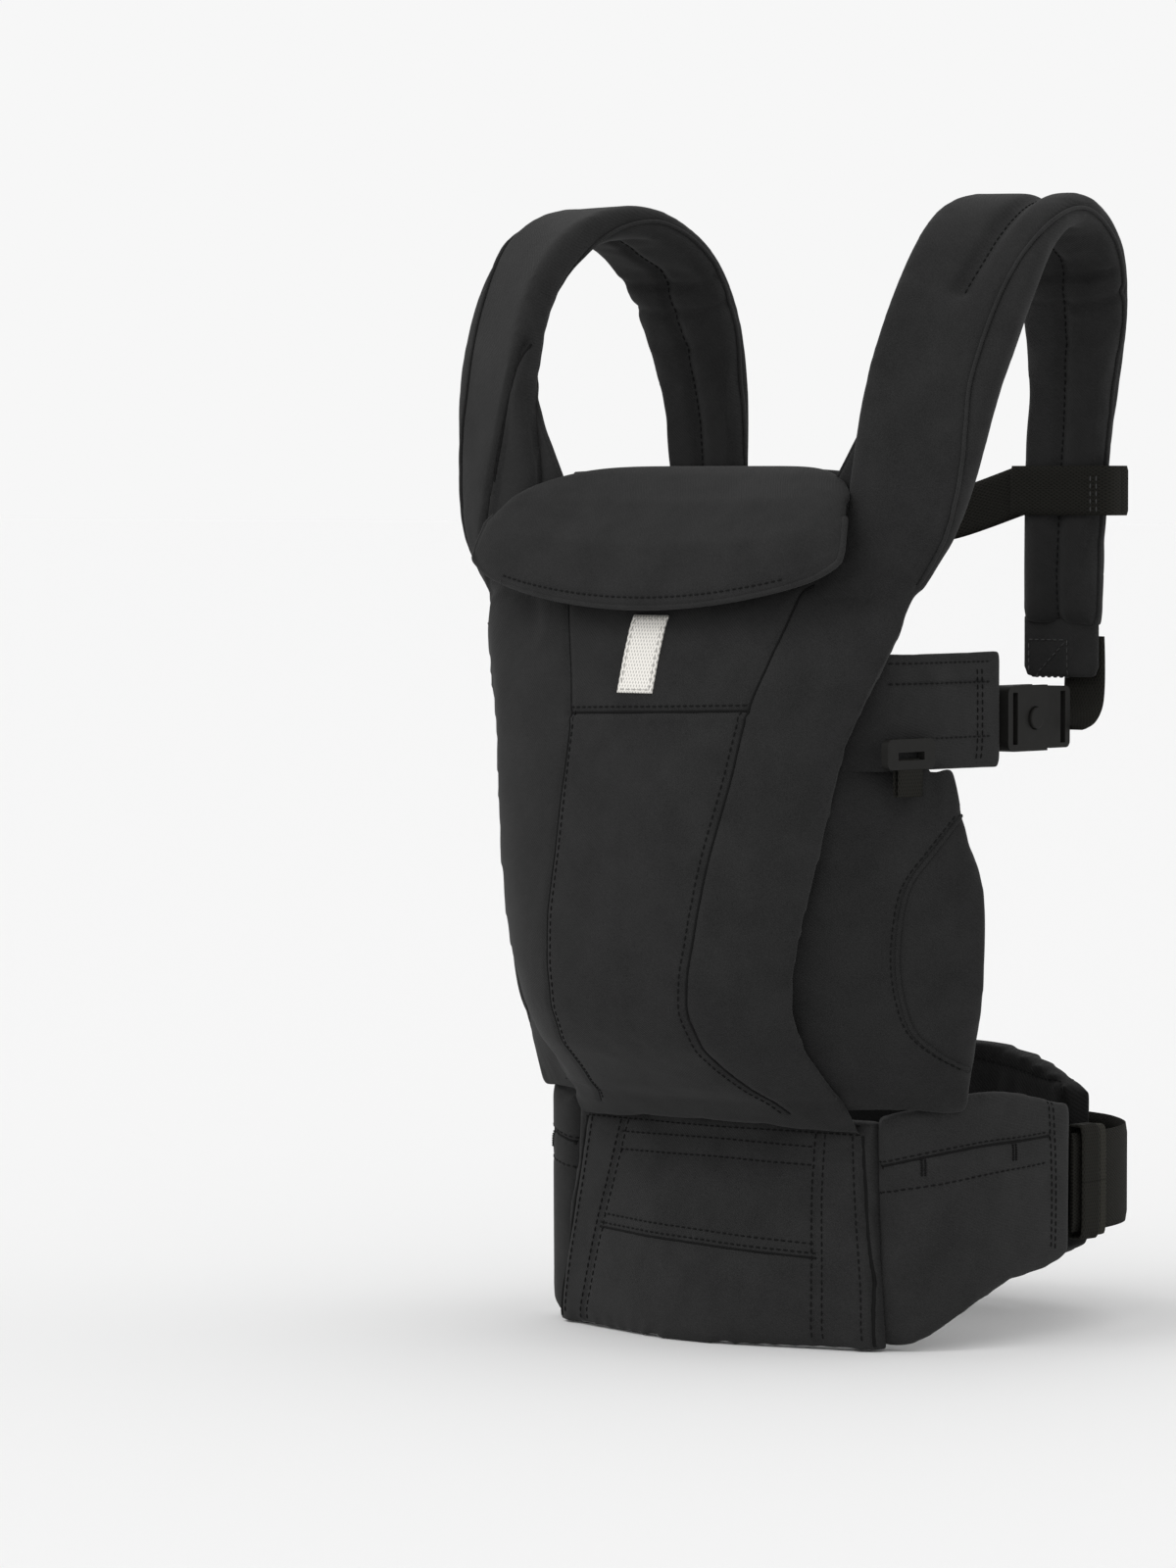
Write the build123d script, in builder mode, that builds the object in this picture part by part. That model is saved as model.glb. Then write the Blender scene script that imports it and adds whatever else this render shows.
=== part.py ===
from build123d import *
from math import atan2, cos, degrees, radians, sin
import os

# Soft front-carry baby carrier standing on its waist belt, with every strap closed.
# Origin: on the floor, in the middle of the whole object's footprint box. +Z up and -Y is the
# front of the carrier. Left (-X) and right (+X) are as seen from the front. Millimetres.

# ---------------------------------------------------------------- driving dimensions
oval_y = 20.0                     # the waist loop's centre lies this far behind the origin
clearance = 0.4                   # gap between a moving piece and what it moves on

# waist belt
belt_thickness = 14.0
belt_top_z = 114.0
belt_front_top_y = -98.0          # outer face of the front panel, on the centre line, at the top
belt_front_bottom_y = -124.0      # and at the floor
belt_panel_top_half = 97.0        # half width of the front panel at the top
belt_panel_bottom_half = 105.0
belt_panel_top_edge_y = -88.0
belt_panel_bottom_edge_y = -96.0
binding_height = 9.0              # folded binding along the top of the front panel

# stations along the side wing's centre line: x, y, lowest z, highest z, thickness
wing_stations = [
    (101.0, -84.0, 0.5, 117.0, 14.0),
    (117.0, -73.0, 6.0, 124.0, 14.0),
    (127.0, -50.0, 20.0, 129.0, 13.0),
    (132.0, -15.0, 32.0, 126.0, 12.0),
    (134.0, 18.0, 42.0, 119.0, 10.0),
]

# waist webbing and its buckle, at the back of the loop
waist_web_width = 50.0
waist_web_thickness = 2.0
waist_web_z = 77.0
waist_web_route = [(134.0, 26.0), (133.0, 57.0), (120.0, 90.0), (92.0, 117.5), (66.0, 129.5)]
waist_buckle_y = 135.0
waist_buckle = {"female": 42.0, "male": 24.0, "height": 62.0, "thickness": 14.0, "prong": 26.0, "web": 50.0}

# lumbar pad inside the waist webbing
lumbar_half_length = 94.0
lumbar_centre_height = 122.0
lumbar_end_height = 78.0
lumbar_centre_z = 77.0
lumbar_thickness = 16.0
lumbar_outer_y = 124.0            # outer face on the centre line
lumbar_end_y = 98.0               # outer face at the ends

# every side-release buckle: the male half slides along +X of its own frame
buckle_wall = 2.5
web_slot = 4.0
web_bar = 4.0
latch_length = 10.0
latch_stand = 1.5                 # how far a latch button stands out of the female half

# body shell: z, half width, y of the side edge, y of the centre line
shell_stations = [
    (114.3, 93.0, -90.0, -100.0),
    (150.0, 87.0, -132.0, -168.0),
    (190.0, 92.0, -147.0, -182.0),
    (245.0, 105.0, -143.0, -174.0),
    (300.0, 116.0, -135.0, -163.0),
    (345.0, 133.0, -121.0, -150.0),
    (378.0, 144.0, -107.0, -138.0),
]
shell_thickness = 9.0
seam_u = 0.63                     # the centre panel's seams, as a share of the half width

# neck collar, the leaning upper edge of the body that carries the head support
collar_stations = [
    (379.0, 99.0, -120.0, -136.0),
    (405.0, 98.0, -94.0, -107.0),
    (425.0, 97.0, -72.0, -83.0),
]
collar_thickness = 8.0

# head support, folded forward over the collar: x, top y and z, bottom y and z of its mid-surface
hinge_y = -91.0
hinge_z = 437.0
flap_thickness = 9.0
flap_core_stations = [
    (0.0, -91.0, 437.0, -159.0, 369.0),
    (60.0, -88.0, 436.0, -155.0, 372.0),
    (92.0, -84.0, 434.5, -148.0, 376.5),
]
flap_corner_stations = [
    (92.4, -121.0, 411.0, -148.0, 377.0),
    (104.0, -128.0, 416.0, -147.0, 381.0),
    (117.0, -130.0, 408.0, -142.0, 386.0),
]

# shoulder straps: x, y, z, width, thickness, turn of the width about +Z in degrees
strap_stations = [
    (121.0, -111.0, 379.5, 46.0, 16.0, 12.0),
    (126.5, -109.0, 404.0, 58.0, 17.0, 12.0),
    (132.0, -106.0, 430.0, 65.0, 18.0, 16.0),
    (141.0, -99.0, 480.0, 69.0, 18.0, 24.0),
    (145.0, -79.0, 526.0, 69.0, 18.0, 25.0),
    (142.0, -51.0, 556.0, 68.0, 18.0, 20.0),
    (136.0, -14.0, 564.5, 68.0, 18.0, 10.0),
    (130.0, 20.0, 547.0, 67.0, 18.0, 4.0),
    (124.5, 37.0, 515.0, 63.0, 17.0, 0.0),
    (120.0, 43.0, 480.0, 57.0, 14.0, 0.0),
    (117.0, 43.0, 446.0, 54.0, 14.0, 0.0),
    (114.5, 43.0, 400.0, 50.0, 14.0, 0.0),
    (113.0, 43.0, 357.0, 46.0, 14.0, 0.0),
]
strap_rear_x = 117.5
strap_rear_y = 43.0
strap_rear_width = 61.0
strap_rear_thickness = 14.0
strap_end_x = 113.0

# fabric tab at the lower end of each strap
end_tab_low_z = 331.0
end_tab_high_z = 356.0
end_tab_width = 46.0
end_tab_thickness = 4.0

# webbing from the end tab to the shoulder buckle
web_back_y = 46.5                 # its upright run lies behind the end tab
sewn_overlap = 4.0                # how far below the tab's top it starts
web_turn_rise = 8.0               # where it turns forward, above the buckle's middle
web_turn_radius = 26.0
web_end_drop = 6.0                # where it ends, below the buckle's middle
web_bar_reach = 2.5               # gap from the buckle to the webbing's end

# chest strap around the rear runs of the shoulder straps
chest_z = 425.0
chest_sag = 16.0
chest_web_width = 25.0
chest_web_thickness = 1.8
chest_y = 40.0
chest_buckle = {"female": 30.0, "male": 18.0, "height": 32.0, "thickness": 10.0, "prong": 18.0, "web": 25.0}

# shoulder buckle on each side, running front to back
side_x = 124.0
buckle_z = 312.0
buckle_split_y = 8.0
side_buckle = {"female": 33.0, "male": 20.0, "height": 33.0, "thickness": 12.0, "prong": 19.0, "web": 25.0}
thumb_button_diameter = 11.0
thumb_button_depth = 2.5
side_web_width = 25.0
side_web_thickness = 1.8

# side band, the stitched sleeve from the body to the shoulder buckle
band_route = [(107.0, -126.0), (119.0, -112.0), (124.5, -95.0), (124.5, -25.6)]
band_low_z = 288.0
band_high_z = 346.0
band_thickness = 5.0

# thigh panels: z, body seam x and y, piping x and y, outer edge x and y
thigh_stations = [
    (131.0, 66.0, -100.0, 126.0, -78.0, 132.0, -62.0),
    (150.0, 67.0, -124.0, 124.0, -88.0, 140.0, -66.0),
    (180.0, 70.0, -136.0, 121.0, -103.0, 147.0, -69.0),
    (212.0, 75.0, -139.0, 122.0, -104.0, 149.0, -70.0),
    (240.0, 82.0, -138.0, 128.0, -95.0, 145.0, -70.0),
    (252.0, 88.0, -137.0, 130.0, -90.0, 141.0, -72.0),
    (268.0, 96.0, -134.0, 130.0, -87.0, 135.0, -77.0),
    (287.0, 104.0, -130.0, 129.0, -92.0, 129.0, -92.0),
]
thigh_panel_thickness = 4.0
thigh_cushion_thickness = 15.0

os.makedirs("parts", exist_ok=True)


# ---------------------------------------------------------------- planes and small helpers
def level(z):
    """Horizontal sketch plane: local x is +X, local y is +Y from the waist loop's centre."""
    return Plane(origin=(0, oval_y, z), x_dir=(1, 0, 0), z_dir=(0, 0, 1))


def side(x):
    """Upright sketch plane across X: local x is +Y, local y is +Z."""
    return Plane(origin=(x, oval_y, 0), x_dir=(0, 1, 0), z_dir=(1, 0, 0))


def front(y):
    """Upright sketch plane across Y: local x is +X, local y is +Z, normal towards the front."""
    return Plane(origin=(0, oval_y + y, 0), x_dir=(1, 0, 0), z_dir=(0, -1, 0))


def at(x, y, z):
    """A place measured from the waist loop's centre."""
    return Location((x, oval_y + y, z))


def station_tangents(points):
    """Unit directions along a list of points, from each point's two neighbours."""
    tangents = []
    for i in range(len(points)):
        ahead = Vector(points[min(i + 1, len(points) - 1)])
        behind = Vector(points[max(i - 1, 0)])
        tangents.append((ahead - behind).normalized())
    return tangents


def heading(vector):
    """Angle of a flat vector from the sketch's x axis, in degrees."""
    return degrees(atan2(vector.Y, vector.X))


def curve_through(stations, steps):
    """Rows between the given stations, on a smooth curve through them."""
    rows = []
    last = len(stations) - 1
    for i in range(last):
        before, start, end, after = (stations[max(i - 1, 0)], stations[i], stations[i + 1], stations[min(i + 2, last)])
        for step in range(steps):
            t = step / steps
            rows.append(tuple(
                0.5 * (2 * p1 + (p2 - p0) * t + (2 * p0 - 5 * p1 + 4 * p2 - p3) * t**2
                       + (3 * p1 - p0 - 3 * p2 + p3) * t**3)
                for p0, p1, p2, p3 in zip(before, start, end, after)))
    rows.append(stations[-1])
    return rows


def save(builder, name):
    """Label a finished piece and write it."""
    builder.part.label = name
    export_step(builder.part, "parts/" + name + ".step")


def band_outline(outer, inner):
    """Closed outline between two curves that run the same way, inside a BuildLine."""
    Spline(*outer)
    Line(outer[-1], inner[-1])
    Spline(*reversed(inner))
    Line(inner[0], outer[0])


sides = [("left", -1), ("right", 1)]


# ---------------------------------------------------------------- waist belt
def belt_row(half, edge_y, centre_y):
    """Outer face of the front panel at one height, from one edge to the other."""
    shoulder_y = edge_y + 0.45 * (centre_y - edge_y)
    return [(-half, edge_y), (-0.6 * half, shoulder_y), (0, centre_y), (0.6 * half, shoulder_y), (half, edge_y)]


def inward(row, thickness):
    """The same row moved back by the thickness and drawn in a little at its ends."""
    return [(x * 0.97, y + thickness) for x, y in row]


belt_top_row = belt_row(belt_panel_top_half, belt_panel_top_edge_y, belt_front_top_y)
belt_bottom_row = belt_row(belt_panel_bottom_half, belt_panel_bottom_edge_y, belt_front_bottom_y)

with BuildPart() as belt_front_panel:
    for z, row in ((0, belt_bottom_row), (belt_top_z - binding_height, belt_top_row)):
        with BuildSketch(level(z)):
            with BuildLine():
                band_outline(row, inward(row, belt_thickness))
            make_face()
    loft()
save(belt_front_panel, "belt_front_panel")

with BuildPart() as belt_top_binding:
    with BuildSketch(level(belt_top_z - binding_height)):
        with BuildLine():
            band_outline(belt_top_row, inward(belt_top_row, belt_thickness))
        make_face()
    extrude(amount=binding_height)
save(belt_top_binding, "belt_top_binding")


def wing(sign):
    """One side wing, narrowing and rising from the front panel to its webbing end."""
    points = [(sign * x, oval_y + y, (low + high) / 2) for x, y, low, high, thick in wing_stations]
    flat_points = [(x, y, 0) for x, y, z in points]
    tangents = station_tangents(flat_points)
    with BuildPart() as piece:
        for point, tangent, station in zip(points, tangents, wing_stations):
            height = station[3] - station[2]
            thick = station[4]
            with BuildSketch(Plane(origin=point, x_dir=(0, 0, 1), z_dir=tangent)):
                RectangleRounded(height, thick, thick * 0.4)
        loft()
    return piece


for name, sign in sides:
    save(wing(sign), "belt_wing_" + name)


# waist webbing, from each wing round to the buckle
def waist_webbing(sign, buckle_end):
    """Webbing standing on edge along the back of the waist loop."""
    with BuildPart() as piece:
        with BuildSketch(level(waist_web_z - waist_web_width / 2)):
            with BuildLine():
                Spline(*[(sign * x, y) for x, y in waist_web_route + [(buckle_end, waist_buckle_y)]])
            trace(line_width=waist_web_thickness)
        extrude(amount=waist_web_width)
    return piece


waist_buckle_x = -6.0
save(waist_webbing(-1, waist_buckle["female"] - waist_buckle_x + clearance), "waist_webbing_left")
save(waist_webbing(1, waist_buckle["male"] + waist_buckle_x + 2 * clearance), "waist_webbing_right")


# webbing keeper at the end of each wing: a loop of webbing sewn to the wing
keeper_y = 35.0
keeper_length = 15.0
keeper_wall = 1.8
keeper_height = 58.0
keeper_depth = 11.0

for name, sign in sides:
    with BuildPart() as web_keeper:
        with Locations(at(sign * 133.0, keeper_y, waist_web_z)):
            Box(keeper_depth, keeper_length, keeper_height)
            Box(keeper_depth - 2 * keeper_wall, keeper_length, keeper_height - 2 * keeper_wall, mode=Mode.SUBTRACT)
    save(web_keeper, "waist_web_keeper_" + name)


# lumbar pad
lumbar_outer = [
    (-lumbar_half_length, lumbar_end_y),
    (-0.55 * lumbar_half_length, lumbar_outer_y - 9.0),
    (0, lumbar_outer_y),
    (0.55 * lumbar_half_length, lumbar_outer_y - 9.0),
    (lumbar_half_length, lumbar_end_y),
]
lumbar_inner = [(x * 0.9, y - lumbar_thickness) for x, y in lumbar_outer]


def lumbar_edge(sign):
    """Upper (1) or lower (-1) edge of the pad seen from the front, higher in the middle."""
    end_z = lumbar_centre_z + sign * lumbar_end_height / 2
    middle_z = lumbar_centre_z + sign * lumbar_centre_height / 2
    return [(-lumbar_half_length, end_z), (0, middle_z), (lumbar_half_length, end_z)]


with BuildPart() as lumbar_pad:
    with BuildSketch(level(0)):
        with BuildLine():
            band_outline(lumbar_outer, lumbar_inner)
        make_face()
    extrude(amount=belt_top_z + lumbar_centre_height)
    with BuildSketch(front(lumbar_outer_y + belt_thickness)):
        with BuildLine():
            band_outline(lumbar_edge(1), lumbar_edge(-1))
        make_face()
    extrude(amount=3 * belt_thickness + lumbar_thickness + 20.0, mode=Mode.INTERSECT)
save(lumbar_pad, "lumbar_pad")




# ---------------------------------------------------------------- side-release buckles
def female_half(size, thumb_hole=False):
    """Female half with its mouth at x = 0 and its webbing slot at the far end."""
    length = size["female"]
    cavity = size["prong"] + 1.5
    inner_height = size["height"] - 2 * buckle_wall
    inner_thickness = size["thickness"] - 2 * buckle_wall
    with BuildPart() as piece:
        with Locations((-length / 2, 0, 0)):
            Box(length, size["thickness"], size["height"])
        fillet(piece.edges().filter_by(Axis.Y).group_by(Axis.X)[0], radius=size["height"] * 0.14)
        with Locations((-cavity / 2, 0, 0)):
            Box(cavity, inner_thickness, inner_height, mode=Mode.SUBTRACT)
            Box(cavity, inner_thickness, size["height"], mode=Mode.SUBTRACT)
        with Locations((-length + web_bar + web_slot / 2, 0, 0)):
            Box(web_slot, size["thickness"], size["web"] + 1, mode=Mode.SUBTRACT)
        if thumb_hole:
            with Locations(Plane(origin=(-cavity / 2, 0, 0), z_dir=(0, -1, 0))):
                Cylinder(thumb_button_diameter / 2 + clearance, size["thickness"] / 2,
                         align=(Align.CENTER, Align.CENTER, Align.MIN), mode=Mode.SUBTRACT)
    return piece


def male_half(size):
    """Male half: head, webbing bar and two prongs, closed against the mouth at x = 0."""
    prong_thickness = size["thickness"] - 2 * buckle_wall - 2 * clearance
    prong_height = size["height"] * 0.2
    prong_z = size["height"] / 2 - buckle_wall - latch_stand - prong_height / 2 - 2.5
    with BuildPart() as piece:
        with Locations((clearance + size["male"] / 2, 0, 0)):
            Box(size["male"], size["thickness"] - 2, size["height"] - 2)
        fillet(piece.edges().filter_by(Axis.Y), radius=size["height"] * 0.1)
        with Locations((clearance + size["male"] - web_bar - web_slot / 2, 0, 0)):
            Box(web_slot, size["thickness"], size["web"] + 1, mode=Mode.SUBTRACT)
        with Locations((-size["prong"] / 2 + 2, 0, prong_z), (-size["prong"] / 2 + 2, 0, -prong_z)):
            Box(size["prong"] + 4, prong_thickness, prong_height)
    return piece


def latch_button(size, sign):
    """Press button at the side of the female half, carried by the male half."""
    button_height = 5.0
    button_z = size["height"] / 2 + latch_stand - button_height / 2
    thickness = size["thickness"] - 2 * buckle_wall - 2 * clearance
    with BuildPart() as piece:
        with Locations((-latch_length / 2 - 3, 0, sign * button_z)):
            Box(latch_length, thickness, button_height)
        fillet(piece.edges().filter_by(Axis.Y), radius=1.2)
    return piece


def thumb_button(size):
    """Round release button in the outer face of a female half."""
    with BuildPart() as piece:
        face_y = -size["thickness"] / 2 - latch_stand
        with Locations(Plane(origin=(-(size["prong"] + 1.5) / 2, face_y, 0), z_dir=(0, 1, 0))):
            Cylinder(thumb_button_diameter / 2, thumb_button_depth,
                     align=(Align.CENTER, Align.CENTER, Align.MIN))
        fillet(piece.edges().group_by(Axis.Y)[0], radius=0.8)
    return piece


def place(piece, location):
    """Move a finished piece from its own frame to its place."""
    piece.part.locate(location)
    return piece


waist_place = at(waist_buckle_x, waist_buckle_y, waist_web_z)
save(place(female_half(waist_buckle), waist_place), "waist_buckle_female")
save(place(male_half(waist_buckle), waist_place), "waist_buckle_male")
for name, sign in (("upper", 1), ("lower", -1)):
    save(place(latch_button(waist_buckle, sign), waist_place), "waist_latch_" + name)

chest_buckle_x = -4.0
chest_place = at(chest_buckle_x, chest_y, chest_z - chest_sag)
save(place(female_half(chest_buckle), chest_place), "chest_buckle_female")
save(place(male_half(chest_buckle), chest_place), "chest_buckle_male")
for name, sign in (("upper", 1), ("lower", -1)):
    save(place(latch_button(chest_buckle, sign), chest_place), "chest_latch_" + name)

for name, sign in sides:
    # the outer face, with the thumb button, looks away from the body on both sides
    turn = Rot(0, 0, 90) if sign > 0 else Rot(0, 0, 90) * Rot(180, 0, 0)
    side_place = at(sign * side_x, buckle_split_y, buckle_z) * turn
    save(place(female_half(side_buckle, thumb_hole=True), side_place), "shoulder_buckle_female_" + name)
    save(place(male_half(side_buckle), side_place), "shoulder_buckle_male_" + name)
    save(place(thumb_button(side_buckle), side_place), "shoulder_thumb_button_" + name)


# ---------------------------------------------------------------- body shell
def shell_point(u, half, edge_y, centre_y):
    """Point of the outer face at u from -1 (left edge) to 1 (right edge)."""
    return (u * half, edge_y + (centre_y - edge_y) * (1 - abs(u) ** wall_roundness))


def wall(stations, thickness, u_start, u_end):
    """Curved upright wall between two places across the body, lofted through all heights."""
    with BuildPart() as piece:
        for z, half, edge_y, centre_y in curve_through(stations, 2):
            outer = []
            inner = []
            for i in range(wall_points):
                u = u_start + (u_end - u_start) * i / (wall_points - 1)
                outer.append(shell_point(u, half, edge_y, centre_y))
                inner_half = half - 0.75 * thickness
                inner.append(shell_point(u, inner_half, edge_y + 0.7 * thickness, centre_y + thickness))
            with BuildSketch(level(z)):
                with BuildLine():
                    band_outline(outer, inner)
                make_face()
        loft(ruled=True)
    return piece


wall_roundness = 3.0
wall_points = 6
save(wall(shell_stations, shell_thickness, -seam_u, seam_u), "body_centre_panel")
save(wall(shell_stations, shell_thickness, -1, -seam_u), "body_side_panel_left")
save(wall(shell_stations, shell_thickness, seam_u, 1), "body_side_panel_right")
save(wall(collar_stations, collar_thickness, -1, 1), "neck_collar")


def shell_at(z):
    """Half width, edge y and centre y of the shell at a height, between two stations."""
    for low, high in zip(shell_stations, shell_stations[1:]):
        if low[0] <= z <= high[0]:
            part = (z - low[0]) / (high[0] - low[0])
            return [low[i] + part * (high[i] - low[i]) for i in (1, 2, 3)]


# label patch on the centre line, leaning with the cloth
label_width = 22.0
label_height = 38.0
label_thickness = 1.4
label_centre_z = 344.0
label_lift = 1.5
label_y = shell_at(label_centre_z)[2]
label_foot_y = shell_at(label_centre_z - label_height / 2)[2]
label_head_y = shell_at(label_centre_z + label_height / 2)[2]
label_lean = Vector(0, label_head_y - label_foot_y, label_height).normalized()
label_normal = Vector(0, -label_lean.Z, label_lean.Y)

with BuildPart() as label_patch:
    label_origin = Vector(0, oval_y + label_y, label_centre_z) + label_normal * label_lift
    with BuildSketch(Plane(origin=label_origin, x_dir=(1, 0, 0), z_dir=label_normal)):
        RectangleRounded(label_width, label_height, 2.0)
    extrude(amount=label_thickness)
save(label_patch, "label_patch")


# ---------------------------------------------------------------- head support
def flap_loft(stations, sign=1):
    """Padded flap through sections across X."""
    with BuildPart() as piece:
        for x, top_y, top_z, low_y, low_z in stations:
            centre = ((top_y + low_y) / 2, (top_z + low_z) / 2)
            run = Vector(top_y - low_y, top_z - low_z, 0)
            with BuildSketch(side(sign * x)):
                with Locations(centre):
                    RectangleRounded(run.length, flap_thickness, flap_thickness * 0.45, rotation=heading(run))
        loft()
    return piece


left_half = [(-x, *rest) for x, *rest in reversed(flap_core_stations[1:])]
save(flap_loft(left_half + flap_core_stations), "head_support_panel")
for name, sign in sides:
    save(flap_loft(flap_corner_stations, sign), "head_support_corner_" + name)


# ---------------------------------------------------------------- shoulder straps
def shoulder_strap(sign):
    """Padded strap from the neck edge over the crest and down the back."""
    rows = curve_through(strap_stations, 4)
    points = [(sign * x, oval_y + y, z) for x, y, z, width, thick, turn in rows]
    tangents = station_tangents(points)
    with BuildPart() as piece:
        for point, tangent, station in zip(points, tangents, rows):
            width = station[3]
            thick = station[4]
            turn = radians(station[5])
            across = Vector(cos(turn), sign * sin(turn), 0)
            across = (across - tangent * across.dot(tangent)).normalized()
            with BuildSketch(Plane(origin=point, x_dir=across, z_dir=tangent)):
                RectangleRounded(width, thick, thick * 0.42)
        loft(ruled=True)
    return piece


for name, sign in sides:
    save(shoulder_strap(sign), "shoulder_strap_" + name)

    with BuildPart() as end_tab:
        tab_height = end_tab_high_z - end_tab_low_z
        with Locations(at(sign * strap_end_x, strap_rear_y, end_tab_low_z + tab_height / 2)):
            Box(end_tab_width, end_tab_thickness, tab_height)
        fillet(end_tab.edges().filter_by(Axis.Y).group_by(Axis.Z)[0], radius=5.0)
    save(end_tab, "strap_end_tab_" + name)

    # adjusting webbing from the strap's end tab down to the buckle's ladder bar
    with BuildPart() as strap_web:
        web_end_y = buckle_split_y + side_buckle["male"] + web_bar_reach
        with BuildSketch(side(sign * (side_x - side_web_width / 2))):
            with BuildLine():
                sewn_end = (web_back_y, end_tab_high_z - sewn_overlap)
                turn_start = (web_back_y, buckle_z + web_turn_rise)
                Line(sewn_end, turn_start)
                RadiusArc(turn_start, (web_end_y, buckle_z - web_end_drop), web_turn_radius)
            trace(line_width=side_web_thickness)
        extrude(amount=sign * side_web_width)
    save(strap_web, "strap_webbing_" + name)


# ---------------------------------------------------------------- chest strap
ring_height = chest_web_width
ring_gap = 1.0
ring_inner_x = strap_rear_width
ring_inner_y = strap_rear_thickness + 2 * ring_gap

for name, sign in sides:
    with BuildPart() as chest_loop:
        with BuildSketch(level(chest_z - ring_height / 2)):
            with Locations((sign * strap_rear_x, strap_rear_y)):
                RectangleRounded(ring_inner_x + 2 * chest_web_thickness, ring_inner_y + 2 * chest_web_thickness, 7.0)
                RectangleRounded(ring_inner_x, ring_inner_y, 5.2, mode=Mode.SUBTRACT)
        extrude(amount=ring_height)
    save(chest_loop, "chest_loop_" + name)

    # webbing from the loop to its buckle half, hanging in a shallow curve
    near_x = strap_rear_x - ring_inner_x / 2 - 3 * chest_web_thickness
    half_length = chest_buckle["male"] if sign > 0 else chest_buckle["female"]
    buckle_end = half_length + sign * chest_buckle_x + 3 * clearance
    with BuildPart() as chest_web:
        with BuildSketch(front(chest_y + chest_web_thickness / 2)):
            with BuildLine():
                sag_low = (sign * buckle_end, chest_z - chest_sag)
                sag_mid = (sign * (buckle_end + near_x) / 2, chest_z - 0.7 * chest_sag)
                Spline(sag_low, sag_mid, (sign * near_x, chest_z))
            trace(line_width=chest_web_width)
        extrude(amount=chest_web_thickness)
    save(chest_web, "chest_webbing_" + name)


# ---------------------------------------------------------------- side bands and sliders
slider_y = {"left": -81.0, "right": -106.0}    # each slider can sit anywhere along its band
slider_z = 297.0
slider_length = 38.0
slider_height = 15.0
slider_thickness = 4.0
tab_web_width = 20.0
seat_tab_length = 12.0
seat_tab_drop = 14.5              # from the slider's middle down to the tab's middle

for name, sign in sides:
    with BuildPart() as side_band:
        with BuildSketch(level(band_low_z)):
            with BuildLine():
                FilletPolyline(*[(sign * x, y) for x, y in band_route], radius=10.0)
            trace(line_width=band_thickness)
        extrude(amount=band_high_z - band_low_z)
    save(side_band, "side_band_" + name)

    slider_x = sign * (side_x + 0.5 + band_thickness / 2 + clearance + slider_thickness / 2)
    with BuildPart() as seat_slider:
        with Locations(at(slider_x, slider_y[name], slider_z)):
            Box(slider_thickness, slider_length, slider_height)
        fillet(seat_slider.edges().filter_by(Axis.X), radius=3.5)
        with Locations(at(slider_x, slider_y[name], slider_z - 1)):
            Box(slider_thickness, tab_web_width + 1, 4.0, mode=Mode.SUBTRACT)
    save(seat_slider, "seat_slider_" + name)

    with BuildPart() as seat_tab:
        with Locations(at(slider_x, slider_y[name], slider_z - seat_tab_drop)):
            Box(side_web_thickness, tab_web_width, seat_tab_length)
    save(seat_tab, "seat_tab_" + name)


# ---------------------------------------------------------------- thigh panels
for name, sign in sides:
    with BuildPart() as thigh_panel:
        for z, seam_x, seam_y, pipe_x, pipe_y, edge_x, edge_y in thigh_stations:
            start = Vector(sign * seam_x, seam_y, 0)
            end = Vector(sign * pipe_x, pipe_y, 0)
            middle = (start + end) / 2
            with BuildSketch(level(z)):
                with Locations((middle.X, middle.Y)):
                    Rectangle((end - start).length, thigh_panel_thickness, rotation=heading(end - start))
        loft(ruled=True)
    save(thigh_panel, "thigh_panel_" + name)

    with BuildPart() as thigh_cushion:
        for z, seam_x, seam_y, pipe_x, pipe_y, edge_x, edge_y in thigh_stations[:-1]:
            start = Vector(sign * pipe_x, pipe_y, 0)
            end = Vector(sign * edge_x, edge_y, 0)
            along = (end - start).normalized()
            inward_normal = Vector(-along.Y, along.X, 0) * sign
            middle = (start + end) / 2 + along * 1.5 + inward_normal * (thigh_cushion_thickness / 2 - 3)
            with BuildSketch(level(z)):
                with Locations((middle.X, middle.Y)):
                    RectangleRounded((end - start).length, thigh_cushion_thickness, 3.0, rotation=heading(along))
        loft()
    save(thigh_cushion, "thigh_cushion_" + name)
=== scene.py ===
import math

import bmesh
import bpy
import numpy as np
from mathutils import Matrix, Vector
from mathutils.bvhtree import BVHTree
from mathutils.kdtree import KDTree


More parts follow.
